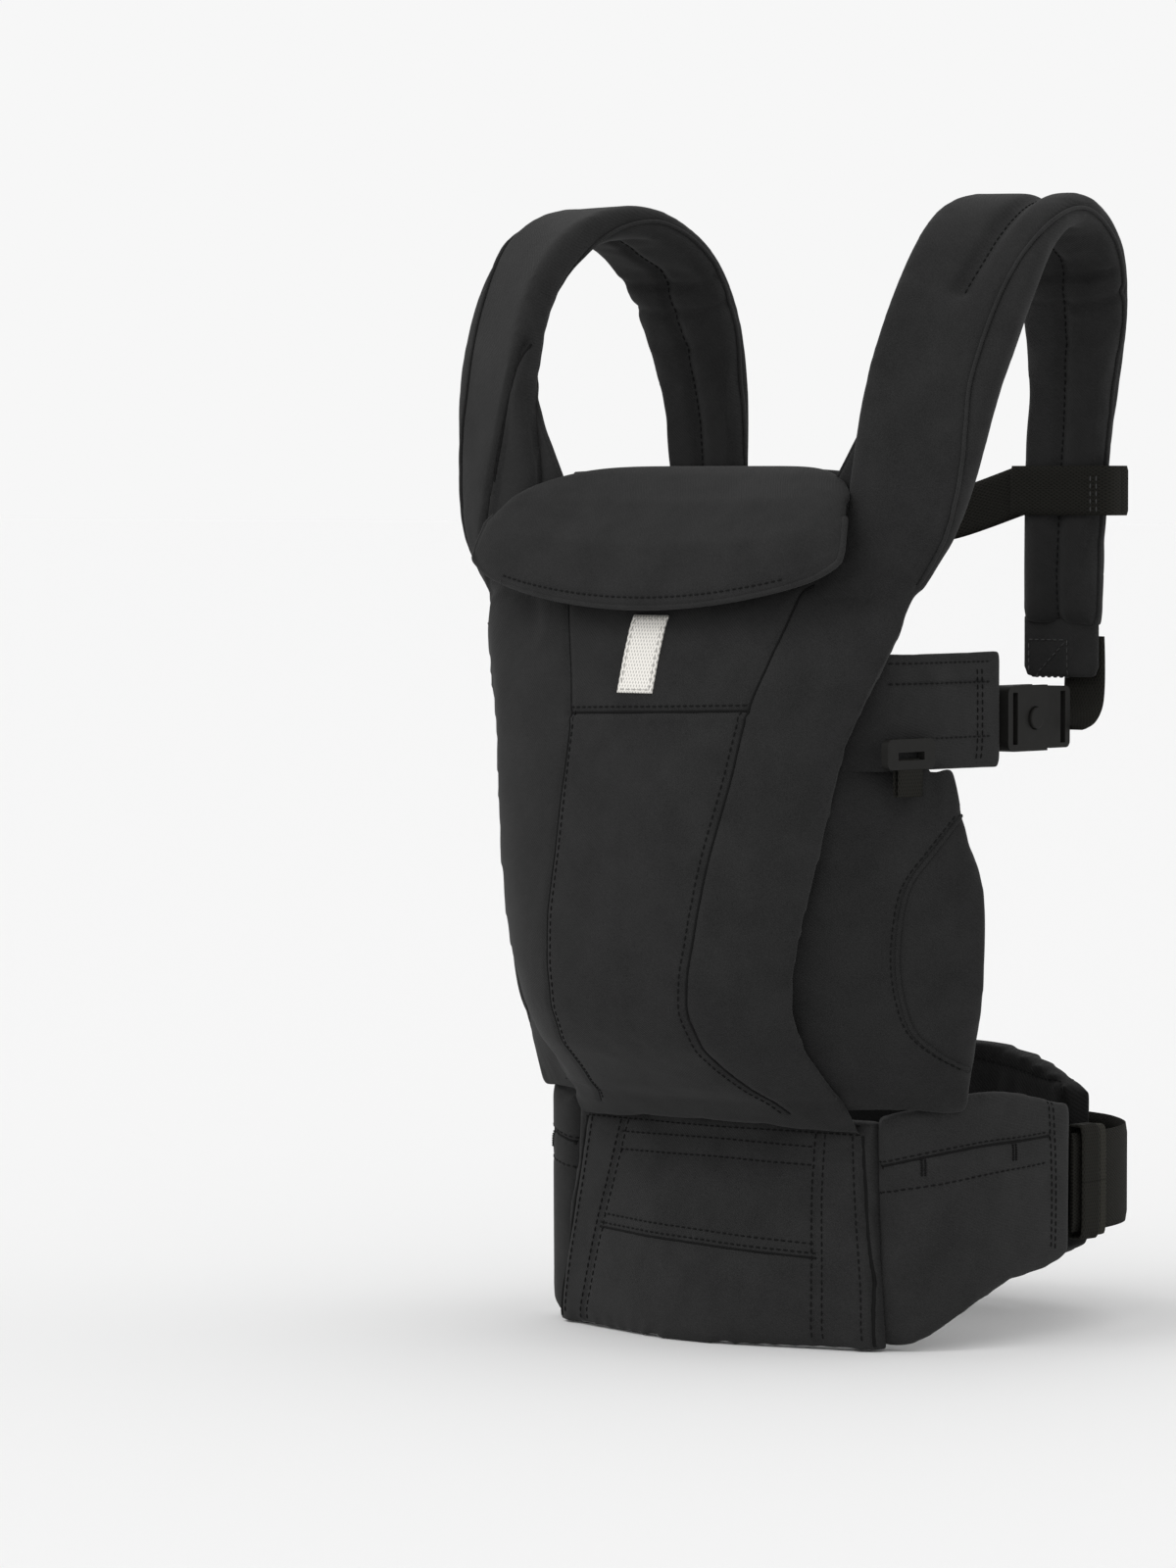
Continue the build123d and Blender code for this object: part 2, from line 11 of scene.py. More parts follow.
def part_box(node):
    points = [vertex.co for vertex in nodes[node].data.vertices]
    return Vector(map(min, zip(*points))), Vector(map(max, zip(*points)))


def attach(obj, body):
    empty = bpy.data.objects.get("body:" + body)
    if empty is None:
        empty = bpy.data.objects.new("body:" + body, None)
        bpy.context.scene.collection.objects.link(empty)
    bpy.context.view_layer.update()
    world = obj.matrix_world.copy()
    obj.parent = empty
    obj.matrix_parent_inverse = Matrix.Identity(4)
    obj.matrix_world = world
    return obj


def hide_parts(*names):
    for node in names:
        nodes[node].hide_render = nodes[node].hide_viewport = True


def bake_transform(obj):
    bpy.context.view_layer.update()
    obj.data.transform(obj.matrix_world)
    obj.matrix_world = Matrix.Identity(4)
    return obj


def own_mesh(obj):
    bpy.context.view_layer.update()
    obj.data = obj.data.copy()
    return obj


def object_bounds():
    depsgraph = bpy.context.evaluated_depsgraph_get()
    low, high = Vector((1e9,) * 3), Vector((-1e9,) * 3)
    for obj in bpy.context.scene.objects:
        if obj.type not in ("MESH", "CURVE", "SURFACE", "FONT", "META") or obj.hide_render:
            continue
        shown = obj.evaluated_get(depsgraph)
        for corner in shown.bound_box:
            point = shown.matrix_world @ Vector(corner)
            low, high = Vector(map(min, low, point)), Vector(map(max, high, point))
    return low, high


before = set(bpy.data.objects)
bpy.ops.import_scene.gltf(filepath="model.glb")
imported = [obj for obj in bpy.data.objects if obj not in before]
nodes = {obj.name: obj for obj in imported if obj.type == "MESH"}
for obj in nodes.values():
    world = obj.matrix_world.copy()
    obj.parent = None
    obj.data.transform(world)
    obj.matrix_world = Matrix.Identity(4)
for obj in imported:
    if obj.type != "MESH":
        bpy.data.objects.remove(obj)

cad_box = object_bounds()
low, high = Vector(cad_box[0]), Vector(cad_box[1])
middle = (low + high) / 2
MM = 0.001
SIDES = (("left", -1), ("right", 1))
UP = (0, 0, 1)
FRONT = Vector((0, 1, 0))         # a ray along this direction meets the front of the carrier
REAR = Vector((0, -1, 0))
WAVE_PERIOD = 0.314               # metres between a wave texture's bands at scale 1
CURVE_STEPS = 24                  # points between two given ones, before they are spaced evenly
STITCH_SIDES = 5
STITCH_RINGS = ((0.0, 0.35), (0.25, 1.0), (0.75, 1.0), (1.0, 0.35))    # share of length, share of radius
RIBBON_COLUMNS = 11
BLOCK_FACES = ((0, 2, 3, 1), (4, 5, 7, 6), (0, 1, 5, 4), (2, 6, 7, 3), (0, 4, 6, 2), (1, 3, 7, 5))


# ---------------------------------------------------------------- camera, floor and light
def direction_of(azimuth, elevation):
    """Direction from an azimuth (0 is the front) and a height, both in radians."""
    flat = math.cos(elevation)
    return Vector((math.sin(azimuth) * flat, -math.cos(azimuth) * flat, math.sin(elevation)))


def camera():
    """Long lens at the object's own height, with the object right of the picture's middle."""
    azimuth, elevation = math.radians(40), math.radians(2.5)
    distance, side_shift, drop = 3.5, 0.1126, 0.011
    right = Vector((math.cos(azimuth), math.sin(azimuth), 0))
    back = direction_of(azimuth, elevation)
    aim = middle - right * side_shift - Vector((0, 0, drop))
    data = bpy.data.cameras.new("camera")
    data.lens = 157.5
    data.sensor_width = 36
    data.clip_end = 200
    eye = bpy.data.objects.new("camera", data)
    eye.location = aim + back * distance
    eye.rotation_euler = back.to_track_quat("Z", "Y").to_euler()
    bpy.context.scene.collection.objects.link(eye)
    bpy.context.scene.camera = eye


def sun(name, azimuth, height, strength, softness):
    """Soft distant light from an azimuth and a height above the floor, in degrees."""
    data = bpy.data.lights.new(name, "SUN")
    data.energy = strength
    data.angle = math.radians(softness)
    lamp = bpy.data.objects.new(name, data)
    direction = direction_of(math.radians(azimuth), math.radians(height))
    lamp.rotation_euler = direction.to_track_quat("Z", "Y").to_euler()
    bpy.context.scene.collection.objects.link(lamp)


def studio():
    """Wide pale floor under an even sky of the same tone, with soft lights from above."""
    mesh = bpy.data.meshes.new("floor")
    half = 60
    corners = [(-half, -half, 0), (half, -half, 0), (half, half, 0), (-half, half, 0)]
    mesh.from_pydata(corners, [], [(0, 1, 2, 3)])
    floor = bpy.data.objects.new("floor", mesh)
    mesh.materials.append(new_material("floor_paper", (0.85, 0.85, 0.85), 0.9, 0.1))
    bpy.context.scene.collection.objects.link(floor)
    world = bpy.data.worlds.new("studio")
    world.use_nodes = True
    background = world.node_tree.nodes["Background"]
    background.inputs["Color"].default_value = (0.93, 0.93, 0.93, 1)
    background.inputs["Strength"].default_value = 1.0
    bpy.context.scene.world = world
    sun("key", -25, 50, 0.60, 35)
    sun("fill", 35, 30, 0.10, 60)
    bpy.context.scene.view_settings.view_transform = "Standard"


# ---------------------------------------------------------------- materials
def shader_of(material):
    """A material's own Principled shader."""
    return material.node_tree.nodes["Principled BSDF"]


def new_material(name, colour, roughness, specular=0.3, sheen=0.0):
    """Principled material with constants set on its own sockets."""
    material = bpy.data.materials.new(name)
    material.use_nodes = True
    inputs = shader_of(material).inputs
    inputs["Base Color"].default_value = (*colour, 1)
    inputs["Roughness"].default_value = roughness
    inputs["Specular IOR Level"].default_value = specular
    inputs["Sheen Weight"].default_value = sheen
    inputs["Sheen Roughness"].default_value = 0.5
    return material


def add_node(material, kind, **inputs):
    """A shader node with some of its inputs set."""
    node = material.node_tree.nodes.new(kind)
    for key, value in inputs.items():
        node.inputs[key.replace("_", " ")].default_value = value
    return node


def wire(material, *pairs):
    """Link outputs to inputs."""
    for output, target in pairs:
        material.node_tree.links.new(output, target)


def shades(ramp, colour, shares):
    """Set a two-colour ramp to shares of one colour."""
    for element, share in zip(ramp.color_ramp.elements, shares):
        element.color = (*[c * share for c in colour], 1)


def tint(material, colour, scale, amount, speckle=0.0):
    """Cloudy variation of the base colour, with fine speckle from the yarn."""
    place = add_node(material, "ShaderNodeTexCoord").outputs["Object"]
    cloud = add_node(material, "ShaderNodeTexNoise", Scale=scale, Detail=4.0, Roughness=0.6)
    yarn = add_node(material, "ShaderNodeTexNoise", Scale=1900.0, Detail=2.0)
    blend = add_node(material, "ShaderNodeMix", Factor=speckle)
    ramp = add_node(material, "ShaderNodeValToRGB")
    ramp.color_ramp.elements[0].position = 0.3
    ramp.color_ramp.elements[1].position = 0.7
    shades(ramp, colour, (1 - amount, 1 + amount))
    wire(material, (place, cloud.inputs["Vector"]), (place, yarn.inputs["Vector"]),
         (cloud.outputs["Fac"], blend.inputs["A"]), (yarn.outputs["Fac"], blend.inputs["B"]),
         (blend.outputs["Result"], ramp.inputs["Fac"]),
         (ramp.outputs["Color"], shader_of(material).inputs["Base Color"]))


def emboss(material, height, strength, distance):
    """Bump the surface by a height output."""
    bump = add_node(material, "ShaderNodeBump", Strength=strength, Distance=distance)
    wire(material, (height, bump.inputs["Height"]),
         (bump.outputs["Normal"], shader_of(material).inputs["Normal"]))


def twill(name, colour, period=0.0011, height=0.00018):
    """Dyed cotton twill: fine slanting ribs, a little fuzz and slight cloudiness."""
    material = new_material(name, colour, 0.88, 0.08, 0.05)
    tint(material, colour, 45.0, 0.40, 0.65)
    place = add_node(material, "ShaderNodeTexCoord").outputs["Object"]
    slant = [math.radians(angle) for angle in (35, 45, 20)]
    turn = add_node(material, "ShaderNodeMapping", Rotation=slant)
    rib = add_node(material, "ShaderNodeTexWave", Scale=WAVE_PERIOD / period, Distortion=1.5, Detail=1.0,
                   Detail_Scale=2.0)
    fuzz = add_node(material, "ShaderNodeTexNoise", Scale=1400.0, Detail=2.0)
    total = add_node(material, "ShaderNodeMath")
    total.operation = "ADD"
    wire(material, (place, turn.inputs["Vector"]), (turn.outputs["Vector"], rib.inputs["Vector"]),
         (place, fuzz.inputs["Vector"]),
         (rib.outputs["Fac"], total.inputs[0]), (fuzz.outputs["Fac"], total.inputs[1]))
    emboss(material, total.outputs["Value"], 0.55, height)
    return material


def webbing_material(name, colour):
    """Woven strap: two sets of slanting ribs that cross, laid out by the strap's own UV in metres."""
    material = new_material(name, colour, 0.8, 0.04)
    place = add_node(material, "ShaderNodeUVMap").outputs["UV"]
    slant, period = math.radians(28), 0.0016
    top = add_node(material, "ShaderNodeMath")
    top.operation = "MAXIMUM"
    for number, angle in enumerate((slant, -slant)):
        turn = add_node(material, "ShaderNodeMapping", Rotation=(0, 0, angle))
        rib = add_node(material, "ShaderNodeTexWave", Scale=WAVE_PERIOD / period)
        rib.bands_direction = "X"
        wire(material, (place, turn.inputs["Vector"]), (turn.outputs["Vector"], rib.inputs["Vector"]),
             (rib.outputs["Fac"], top.inputs[number]))
    ramp = add_node(material, "ShaderNodeValToRGB")
    shades(ramp, colour, (0.6, 1.3))
    wire(material, (top.outputs["Value"], ramp.inputs["Fac"]),
         (ramp.outputs["Color"], shader_of(material).inputs["Base Color"]))
    emboss(material, top.outputs["Value"], 0.8, 0.0003)
    return material


def moulded_plastic(name, colour):
    """Satin nylon with a faint spark-eroded grain."""
    material = new_material(name, colour, 0.5, 0.09)
    place = add_node(material, "ShaderNodeTexCoord").outputs["Object"]
    grain = add_node(material, "ShaderNodeTexNoise", Scale=1800.0, Detail=3.0)
    wire(material, (place, grain.inputs["Vector"]))
    emboss(material, grain.outputs["Fac"], 0.35, 0.00008)
    tint(material, colour, 200.0, 0.1)
    return material


CLOTH = twill("twill_body", (0.02, 0.02, 0.02))
STRAP_CLOTH = twill("twill_strap", (0.0225, 0.0225, 0.0225))
BELT_CLOTH = twill("twill_belt", (0.0225, 0.0225, 0.0225))
PANEL_CLOTH = twill("twill_panel", (0.0185, 0.0185, 0.0185))
INNER_CLOTH = twill("inner_cloth", (0.0095, 0.0095, 0.0095), 0.0016, 0.0003)
WEBBING = webbing_material("webbing", (0.015, 0.0146, 0.0128))
ELASTIC = webbing_material("elastic", (0.028, 0.027, 0.023))
PLASTIC = moulded_plastic("nylon", (0.0115, 0.0113, 0.0105))
THREAD = new_material("thread", (0.035, 0.035, 0.035), 0.5, 0.4)
# near-black material: the real thread of the stitch rows, and painted shade where it is laid as cords in
# folds, seams and slits
DARK_THREAD_AND_FOLD_SHADE = new_material("dark_thread_and_fold_shade", (0.007, 0.007, 0.007), 0.8, 0.1)
LABEL = webbing_material("label_weave", (0.72, 0.70, 0.66))
LABEL_THREAD = new_material("label_thread", (0.45, 0.44, 0.42), 0.7, 0.2)


# ---------------------------------------------------------------- mesh tools
def new_object(name, points, faces, material, body=None):
    """Smooth mesh object; it rides on a body where one is named."""
    mesh = bpy.data.meshes.new(name)
    mesh.from_pydata([tuple(p) for p in points], [], faces)
    mesh.update()
    obj = bpy.data.objects.new(name, mesh)
    bpy.context.scene.collection.objects.link(obj)
    mesh.polygons.foreach_set("use_smooth", [True] * len(mesh.polygons))
    mesh.materials.append(material)
    if body:
        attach(obj, body)
    return obj


def coordinates(mesh):
    """Vertex places as an array."""
    values = np.empty(len(mesh.vertices) * 3)
    mesh.vertices.foreach_get("co", values)
    return values.reshape(-1, 3)


def normals(mesh):
    """Vertex normals as an array."""
    values = np.empty(len(mesh.vertices) * 3)
    mesh.vertex_normals.foreach_get("vector", values)
    return values.reshape(-1, 3)


def move_to(mesh, places):
    """Write vertex places back."""
    mesh.vertices.foreach_set("co", places.reshape(-1))
    mesh.update()


def relax(mesh, times, weight=0.5, push=1.04, mask=None):
    """Smooth out the steps of a remesh, pushing back after each pass so that the piece keeps its size."""
    edges = np.empty(len(mesh.edges) * 2, int)
    mesh.edges.foreach_get("vertices", edges)
    a, b = edges.reshape(-1, 2).T
    count = np.bincount(np.concatenate([a, b]), minlength=len(mesh.vertices))[:, None]
    places = coordinates(mesh)
    for factor in (weight, -push * weight) * times:
        total = np.zeros_like(places)
        np.add.at(total, a, places[b])
        np.add.at(total, b, places[a])
        change = factor * (total / np.maximum(count, 1) - places)
        places += change if mask is None else change * mask[:, None]
    move_to(mesh, places)


def applied(obj):
    """Replace an object's mesh by what its modifiers make of it."""
    graph = bpy.context.evaluated_depsgraph_get()
    mesh = bpy.data.meshes.new_from_object(obj.evaluated_get(graph))
    obj.modifiers.clear()
    obj.data = mesh


def remeshed(name, node_names, voxel, material, fillers=()):
    """Even quad mesh over some CAD nodes' solids and small blocks that fill the gaps between them."""
    points, faces = [], []
    for centre, size in fillers:
        start = len(points)
        for corner in range(8):
            points.append(tuple(centre[i] + size[i] * (0.5 if corner >> i & 1 else -0.5) for i in range(3)))
        faces += [[start + i for i in face] for face in BLOCK_FACES]
    for node in node_names:
        start = len(points)
        mesh = nodes[node].data
        points += [tuple(v.co) for v in mesh.vertices]
        faces += [[start + i for i in polygon.vertices] for polygon in mesh.polygons]
    obj = new_object(name, points, faces, material)
    remesh = obj.modifiers.new("remesh", "REMESH")
    remesh.mode = "VOXEL"
    remesh.voxel_size = voxel
    applied(obj)
    obj.data.materials.clear()
    obj.data.materials.append(material)
    return obj


def inflate(jobs):
    """Blow up several padded pieces together with cloth pressure; jobs are (object, pressure, cap)."""
    frames = 16
    starts = {}
    for obj, pressure, cap in jobs:
        starts[obj.name] = coordinates(obj.data)
        cloth = obj.modifiers.new("cloth", "CLOTH")
        cloth.settings.quality = 4
        cloth.settings.mass = 0.2
        cloth.settings.tension_stiffness = 25
        cloth.settings.compression_stiffness = 12
        cloth.settings.shear_stiffness = 8
        cloth.settings.bending_stiffness = 0.6
        cloth.settings.use_pressure = True
        cloth.settings.uniform_pressure_force = pressure
        cloth.settings.effector_weights.gravity = 0
        cloth.collision_settings.use_collision = False
        cloth.point_cache.frame_end = frames
    scene = bpy.context.scene
    for frame_number in range(1, frames + 1):
        scene.frame_set(frame_number)
    for obj, pressure, cap in jobs:
        applied(obj)
        start = starts[obj.name]
        shift = coordinates(obj.data) - start
        size = np.linalg.norm(shift, axis=1)[:, None]
        shift *= np.minimum(1, cap / np.maximum(size, 1e-9))
        move_to(obj.data, start + shift)
    scene.frame_set(1)


def refine(obj):
    """Apply one subdivision."""
    subdivide = obj.modifiers.new("subdivide", "SUBSURF")
    subdivide.levels = 1
    subdivide.render_levels = 1
    applied(obj)
    obj.data.polygons.foreach_set("use_smooth", [True] * len(obj.data.polygons))


def tree_of(*objects):
    """Ray-casting tree over some objects' meshes."""
    shape = bmesh.new()
    for obj in objects:
        shape.from_mesh(obj.data)
    tree = BVHTree.FromBMesh(shape)
    shape.free()
    return tree


def along(line, lengths, distance):
    """Point at a distance along a line, and the number of the line's point before it."""
    i = min(int(np.searchsorted(lengths, distance, side="right")) - 1, len(line) - 2)
    share = (distance - lengths[i]) / max(lengths[i + 1] - lengths[i], 1e-9)
    return line[i].lerp(line[i + 1], float(min(max(share, 0), 1))), i


def curve_points(points, spacing):
    """Evenly spaced points on a smooth curve through given ones."""
    points = [Vector(p) for p in points]
    fine = []
    last = len(points) - 1
    for i in range(last):
        p0, p1, p2, p3 = points[max(i - 1, 0)], points[i], points[i + 1], points[min(i + 2, last)]
        for step in range(CURVE_STEPS):
            t = step / CURVE_STEPS
            fine.append(0.5 * (2 * p1 + (p2 - p0) * t + (2 * p0 - 5 * p1 + 4 * p2 - p3) * t**2
                               + (3 * p1 - p0 - 3 * p2 + p3) * t**3))
    fine.append(points[-1])
    lengths = np.cumsum([0] + [(b - a).length for a, b in zip(fine, fine[1:])])
    count = max(2, int(lengths[-1] / spacing) + 1)
    return [along(fine, lengths, distance)[0] for distance in np.linspace(0, lengths[-1], count)]


def lay(tree, points, direction=FRONT, spacing=0.001, reach=0.03):
    """Points of a smooth curve dropped on a surface along a direction, with the surface's normals."""
    direction = Vector(direction).normalized()
    placed = []
    for point in curve_points(points, spacing):
        hit = tree.ray_cast(point - direction * reach, direction, 2 * reach)
        if hit[0] is None:
            hit = tree.find_nearest(point)
        normal = hit[1] if hit[1].dot(direction) < 0 else -hit[1]
        placed.append((hit[0], normal))
    return placed


def crease(obj, lines, depth, width):
    """Press seams into a soft piece; a negative depth raises a ridge."""
    dense = [point for line in lines for point, normal in line]
    finder = KDTree(len(dense))
    for i, point in enumerate(dense):
        finder.insert(point, i)
    finder.balance()
    places, out = coordinates(obj.data), normals(obj.data)
    spots = np.array([tuple(point) for point in dense])
    reach = 3 * width
    close = np.all((places > spots.min(0) - reach) & (places < spots.max(0) + reach), axis=1)
    for i in np.flatnonzero(close):
        distance = finder.find(places[i])[2]
        if distance < reach:
            places[i] -= out[i] * depth * math.exp(-(distance / width) ** 2)
    move_to(obj.data, places)


def skin(rings, sides, start=0, inside_out=False):
    """Faces of a tube made of rings of points, closed at both ends."""
    faces = []
    for i in range(rings - 1):
        a, b = start + i * sides, start + (i + 1) * sides
        for j in range(sides):
            k = (j + 1) % sides
            faces.append((a + j, a + k, b + k, b + j))
    first = [start + j for j in range(sides)]
    last = [start + (rings - 1) * sides + j for j in range(sides)]
    if inside_out:
        return faces + [tuple(reversed(first)), tuple(last)]
    return faces + [tuple(first), tuple(reversed(last))]


def tube(name, line, radius, material=DARK_THREAD_AND_FOLD_SHADE, body="carrier", lift=0.0):
    """Round cord lying along a laid line, such as piping; with its default dark material it is a painted
    shade line along a fold, seam or slit.
    """
    sides = 8
    points = []
    spots = [point + normal * lift for point, normal in line]
    for i, (spot, (point, normal)) in enumerate(zip(spots, line)):
        tangent = (spots[min(i + 1, len(spots) - 1)] - spots[max(i - 1, 0)]).normalized()
        side = tangent.cross(normal).normalized()
        up = side.cross(tangent)
        for j in range(sides):
            angle = 2 * math.pi * j / sides
            points.append(spot + (side * math.cos(angle) + up * math.sin(angle)) * radius)
    return new_object(name, points, skin(len(spots), sides), material, body)


def stitches(name, lines, body="carrier", material=DARK_THREAD_AND_FOLD_SHADE,
             length=0.0026, gap=0.0012, radius=0.00042):
    """Rows of sewn stitches along laid lines: small rounded dashes half sunk in the cloth."""
    points, faces = [], []
    for line in lines:
        spots = [p for p, n in line]
        steps = np.cumsum([0] + [(b - a).length for a, b in zip(spots, spots[1:])])
        start = 0.0
        while start + length < steps[-1]:
            a, i = along(spots, steps, start)
            b, j = along(spots, steps, start + length)
            normal = line[i][1]
            side = (b - a).cross(normal).normalized()
            base = len(points)
            for share, swell in STITCH_RINGS:
                centre = a.lerp(b, share) + normal * (0.0001 + radius * 0.4 * math.sin(math.pi * share))
                for k in range(STITCH_SIDES):
                    angle = 2 * math.pi * k / STITCH_SIDES
                    outward = side * math.cos(angle) + normal * math.sin(angle)
                    points.append(centre + outward * radius * swell)
            faces += skin(len(STITCH_RINGS), STITCH_SIDES, base)
            start += length + gap
    return new_object(name, points, faces, material, body)


def map_uv(obj, place_to_uv):
    """Give a mesh UVs in metres, from each vertex's number and place."""
    layer = obj.data.uv_layers.new(name="strap")
    for loop in obj.data.loops:
        vertex = obj.data.vertices[loop.vertex_index]
        layer.data[loop.index].uv = place_to_uv(vertex.index, vertex.co)


def ribbon(name, spine, wide, width, thickness, body=None, material=WEBBING, spacing=0.002):
    """Flat webbing along a spine of places, with one direction across it and UV in metres."""
    path = curve_points(spine, spacing)
    count = len(path)
    profile = []
    half, lip, flat, curved = width / 2, thickness / 2, 0.86, 0.14
    for c in range(RIBBON_COLUMNS):
        share = -1 + 2 * c / (RIBBON_COLUMNS - 1)
        edge = math.sqrt(max(0.0, 1 - max(0, abs(share) - flat) ** 2 / curved**2))
        profile.append((share * half, lip * max(edge, 0.25)))
    points, uvs = [], []
    distance = 0.0
    for i, spot in enumerate(path):
        if i:
            distance += (spot - path[i - 1]).length
        tangent = (path[min(i + 1, count - 1)] - path[max(i - 1, 0)]).normalized()
        across = Vector(wide).normalized()
        across = (across - tangent * across.dot(tangent)).normalized()
        up = across.cross(tangent)
        for face, edge in ((1, profile), (-1, profile[::-1])):
            for offset, rise in edge:
                points.append(spot + across * offset + up * rise * face)
                uvs.append((offset, distance))
    obj = new_object(name, points, skin(count, 2 * RIBBON_COLUMNS, inside_out=True), material, body)
    map_uv(obj, lambda number, place: uvs[number])
    return obj


# ---------------------------------------------------------------- padded pieces
def spot(x, y, z):
    """A place given in millimetres."""
    return Vector((x, y, z)) * MM


def in_mm(points):
    """Places given in millimetres."""
    return [spot(*p) for p in points]


def both(sign, points):
    """Points for the side with this sign."""
    return [spot(sign * x, y, z) for x, y, z in points]


def finish_soft(obj, stands_for, body="carrier"):
    """Attach a padded piece and hide the CAD parts that it stands for."""
    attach(obj, body)
    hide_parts(*stands_for)


def shrink(obj, amount):
    """Draw a piece in along its normals, to leave room for the padding."""
    places = coordinates(obj.data)
    move_to(obj.data, places - normals(obj.data) * amount)


def stretch(obj, axis, amount, start, run):
    """Move one end of a piece along an axis; the shift grows from nothing at start over the run."""
    places = coordinates(obj.data)
    places[:, axis] += amount * np.clip((start - places[:, axis]) / run, 0, 1)
    move_to(obj.data, places)


def part_of(mesh, name, chosen):
    """New object from some of a mesh's faces, shaded as before so that the cut doesn't show."""
    used = sorted({i for polygon in chosen for i in polygon.vertices})
    index = {old: new for new, old in enumerate(used)}
    points = [mesh.vertices[i].co.copy() for i in used]
    faces = [[index[i] for i in polygon.vertices] for polygon in chosen]
    piece = new_object(name, points, faces, mesh.materials[0])
    piece.data.normals_split_custom_set_from_vertices([mesh.vertices[i].normal.copy() for i in used])
    return piece


def divide(obj, parts):
    """Cut one sewn piece into named ones, each with the faces nearest its CAD nodes; the cuts stay open."""
    trees = [tree_of(*[nodes[node] for node in group]) for group in parts.values()]
    mesh = obj.data
    owner = []
    for polygon in mesh.polygons:
        distances = [tree.find_nearest(polygon.center)[3] for tree in trees]
        owner.append(int(np.argmin(distances)))
    pieces = {}
    for number, name in enumerate(parts):
        chosen = [polygon for polygon, which in zip(mesh.polygons, owner) if which == number]
        pieces[name] = part_of(mesh, name, chosen)
    bpy.data.objects.remove(obj)
    return pieces


camera()
studio()


SHELL = ("body_centre_panel", "body_side_panel_left", "body_side_panel_right")
COLLAR_CORNERS = [((sign * 0.098, -0.097, 0.384), (0.014, 0.012, 0.020)) for sign in (-1, 1)]
# name, nodes, voxel, material, times relaxed, shrink, cloth pressure, most that it may swell
SOFT = [
    ("carrier_cloth", SHELL + ("neck_collar", "shoulder_strap_left", "shoulder_strap_right"),
     0.0031, CLOTH, 10, 0.0008, 3.5, 0.004),
    ("belt_front", ("belt_front_panel", "belt_top_binding"), 0.0034, BELT_CLOTH, 6, 0.0008, 2.5, 0.003),
    ("lumbar_cushion", ("lumbar_pad",), 0.004, INNER_CLOTH, 8, 0.001, 1.2, 0.003),
]
for side, sign in SIDES:
    SOFT += [
        ("belt_wing_pad_" + side, ("belt_wing_" + side,), 0.0036, BELT_CLOTH, 5, 0.001, 2.5, 0.003),
        ("thigh_cloth_" + side, ("thigh_panel_" + side, "thigh_cushion_" + side),
         0.0027, PANEL_CLOTH, 8, 0.0004, 4.0, 0.004),
        ("side_band_cloth_" + side, ("side_band_" + side,), 0.0024, PANEL_CLOTH, 3, 0.0003, 2.0, 0.0015),
        ("strap_tab_" + side, ("strap_end_tab_" + side,), 0.002, STRAP_CLOTH, 3, 0.0002, 2.0, 0.001),
    ]
soft = {}
jobs = []
for name, parts, voxel, material, times, drawn_in, pressure, cap in SOFT:
    obj = remeshed(name, parts, voxel, material, COLLAR_CORNERS if name == "carrier_cloth" else ())
    relax(obj.data, times)
    shrink(obj, drawn_in)
    if name == "carrier_cloth":                      # its lower edge is sewn into the belt's top
        stretch(obj, 2, -0.007, 0.125, 0.012)
        places = coordinates(obj.data)               # and the step where the straps begin is smoothed
        joint = np.clip(1 - np.abs(places[:, 2] - 0.378) / 0.022, 0, 1) * (np.abs(places[:, 0]) > 0.085)
        relax(obj.data, 25, 0.5, 0.0, joint * (places[:, 1] < 0))
    if name.startswith("thigh_cloth"):               # its lower edge is sewn into the belt
        stretch(obj, 2, -0.013, 0.155, 0.024)
        places = coordinates(obj.data)
        outer = np.clip((places[:, 2] - 0.252) / 0.014, 0, 1)     # its outer corner is raised
        places[:, 2] += 0.014 * (outer * np.clip((np.abs(places[:, 0]) - 0.126) / 0.004, 0, 1))
        top = np.clip((places[:, 2] - 0.270) / 0.015, 0, 1)        # its top edge goes behind the side band
        places += top[:, None] * np.array([0, 0.003, 0.009])
        places[:, 0] -= 0.005 * top * np.sign(places[:, 0])
        move_to(obj.data, places)
    if name.startswith("side_band"):                 # the band starts behind the shell's edge
        places = coordinates(obj.data)
        behind = np.clip((-0.092 - places[:, 1]) / 0.012, 0, 1)
        places[:, 0] -= 0.007 * behind * np.sign(places[:, 0])
        move_to(obj.data, places)
    if name.startswith("strap_tab"):                 # the tab's top is sewn to the strap's end
        stretch(obj, 2, 0.006, 0.345, -0.008)
    if name.startswith("belt_wing"):                 # the wing starts behind the front panel
        side_sign = -1 if name.endswith("left") else 1
        places = coordinates(obj.data)
        places[:, 0] -= side_sign * 0.008 * np.clip((0.112 - np.abs(places[:, 0])) / 0.010, 0, 1)
        move_to(obj.data, places)
    soft[name] = obj
    jobs.append((obj, pressure, cap))
inflate(jobs)
for piece in soft.values():
    relax(piece.data, 5)
    refine(piece)

# ---- body shell: panel seams, the slit of the upper overlay, side seams
shell = soft["carrier_cloth"]
shell_tree = tree_of(shell)
SEAM_RIGHT = in_mm([(88, -108, 379), (83, -114, 373), (76, -125, 345), (68, -133, 318), (63, -142, 283),
                    (55, -150, 244), (51, -155, 211), (46, -156, 177), (46, -147, 157),
                    (49, -130, 137), (60, -98, 117)])
SEAM_LEFT = in_mm([(-68, -112, 379), (-57, -121, 365), (-41, -137, 316), (-40, -149, 265),
                   (-41, -157, 217), (-40, -156, 168), (-48, -132, 137), (-62, -98, 117)])
SLIT = in_mm([(-41, -138, 315), (-5, -139, 316), (32, -138, 317), (68, -133, 318)])
seam_right = lay(shell_tree, SEAM_RIGHT)
seam_left = lay(shell_tree, SEAM_LEFT)
slit = lay(shell_tree, SLIT)
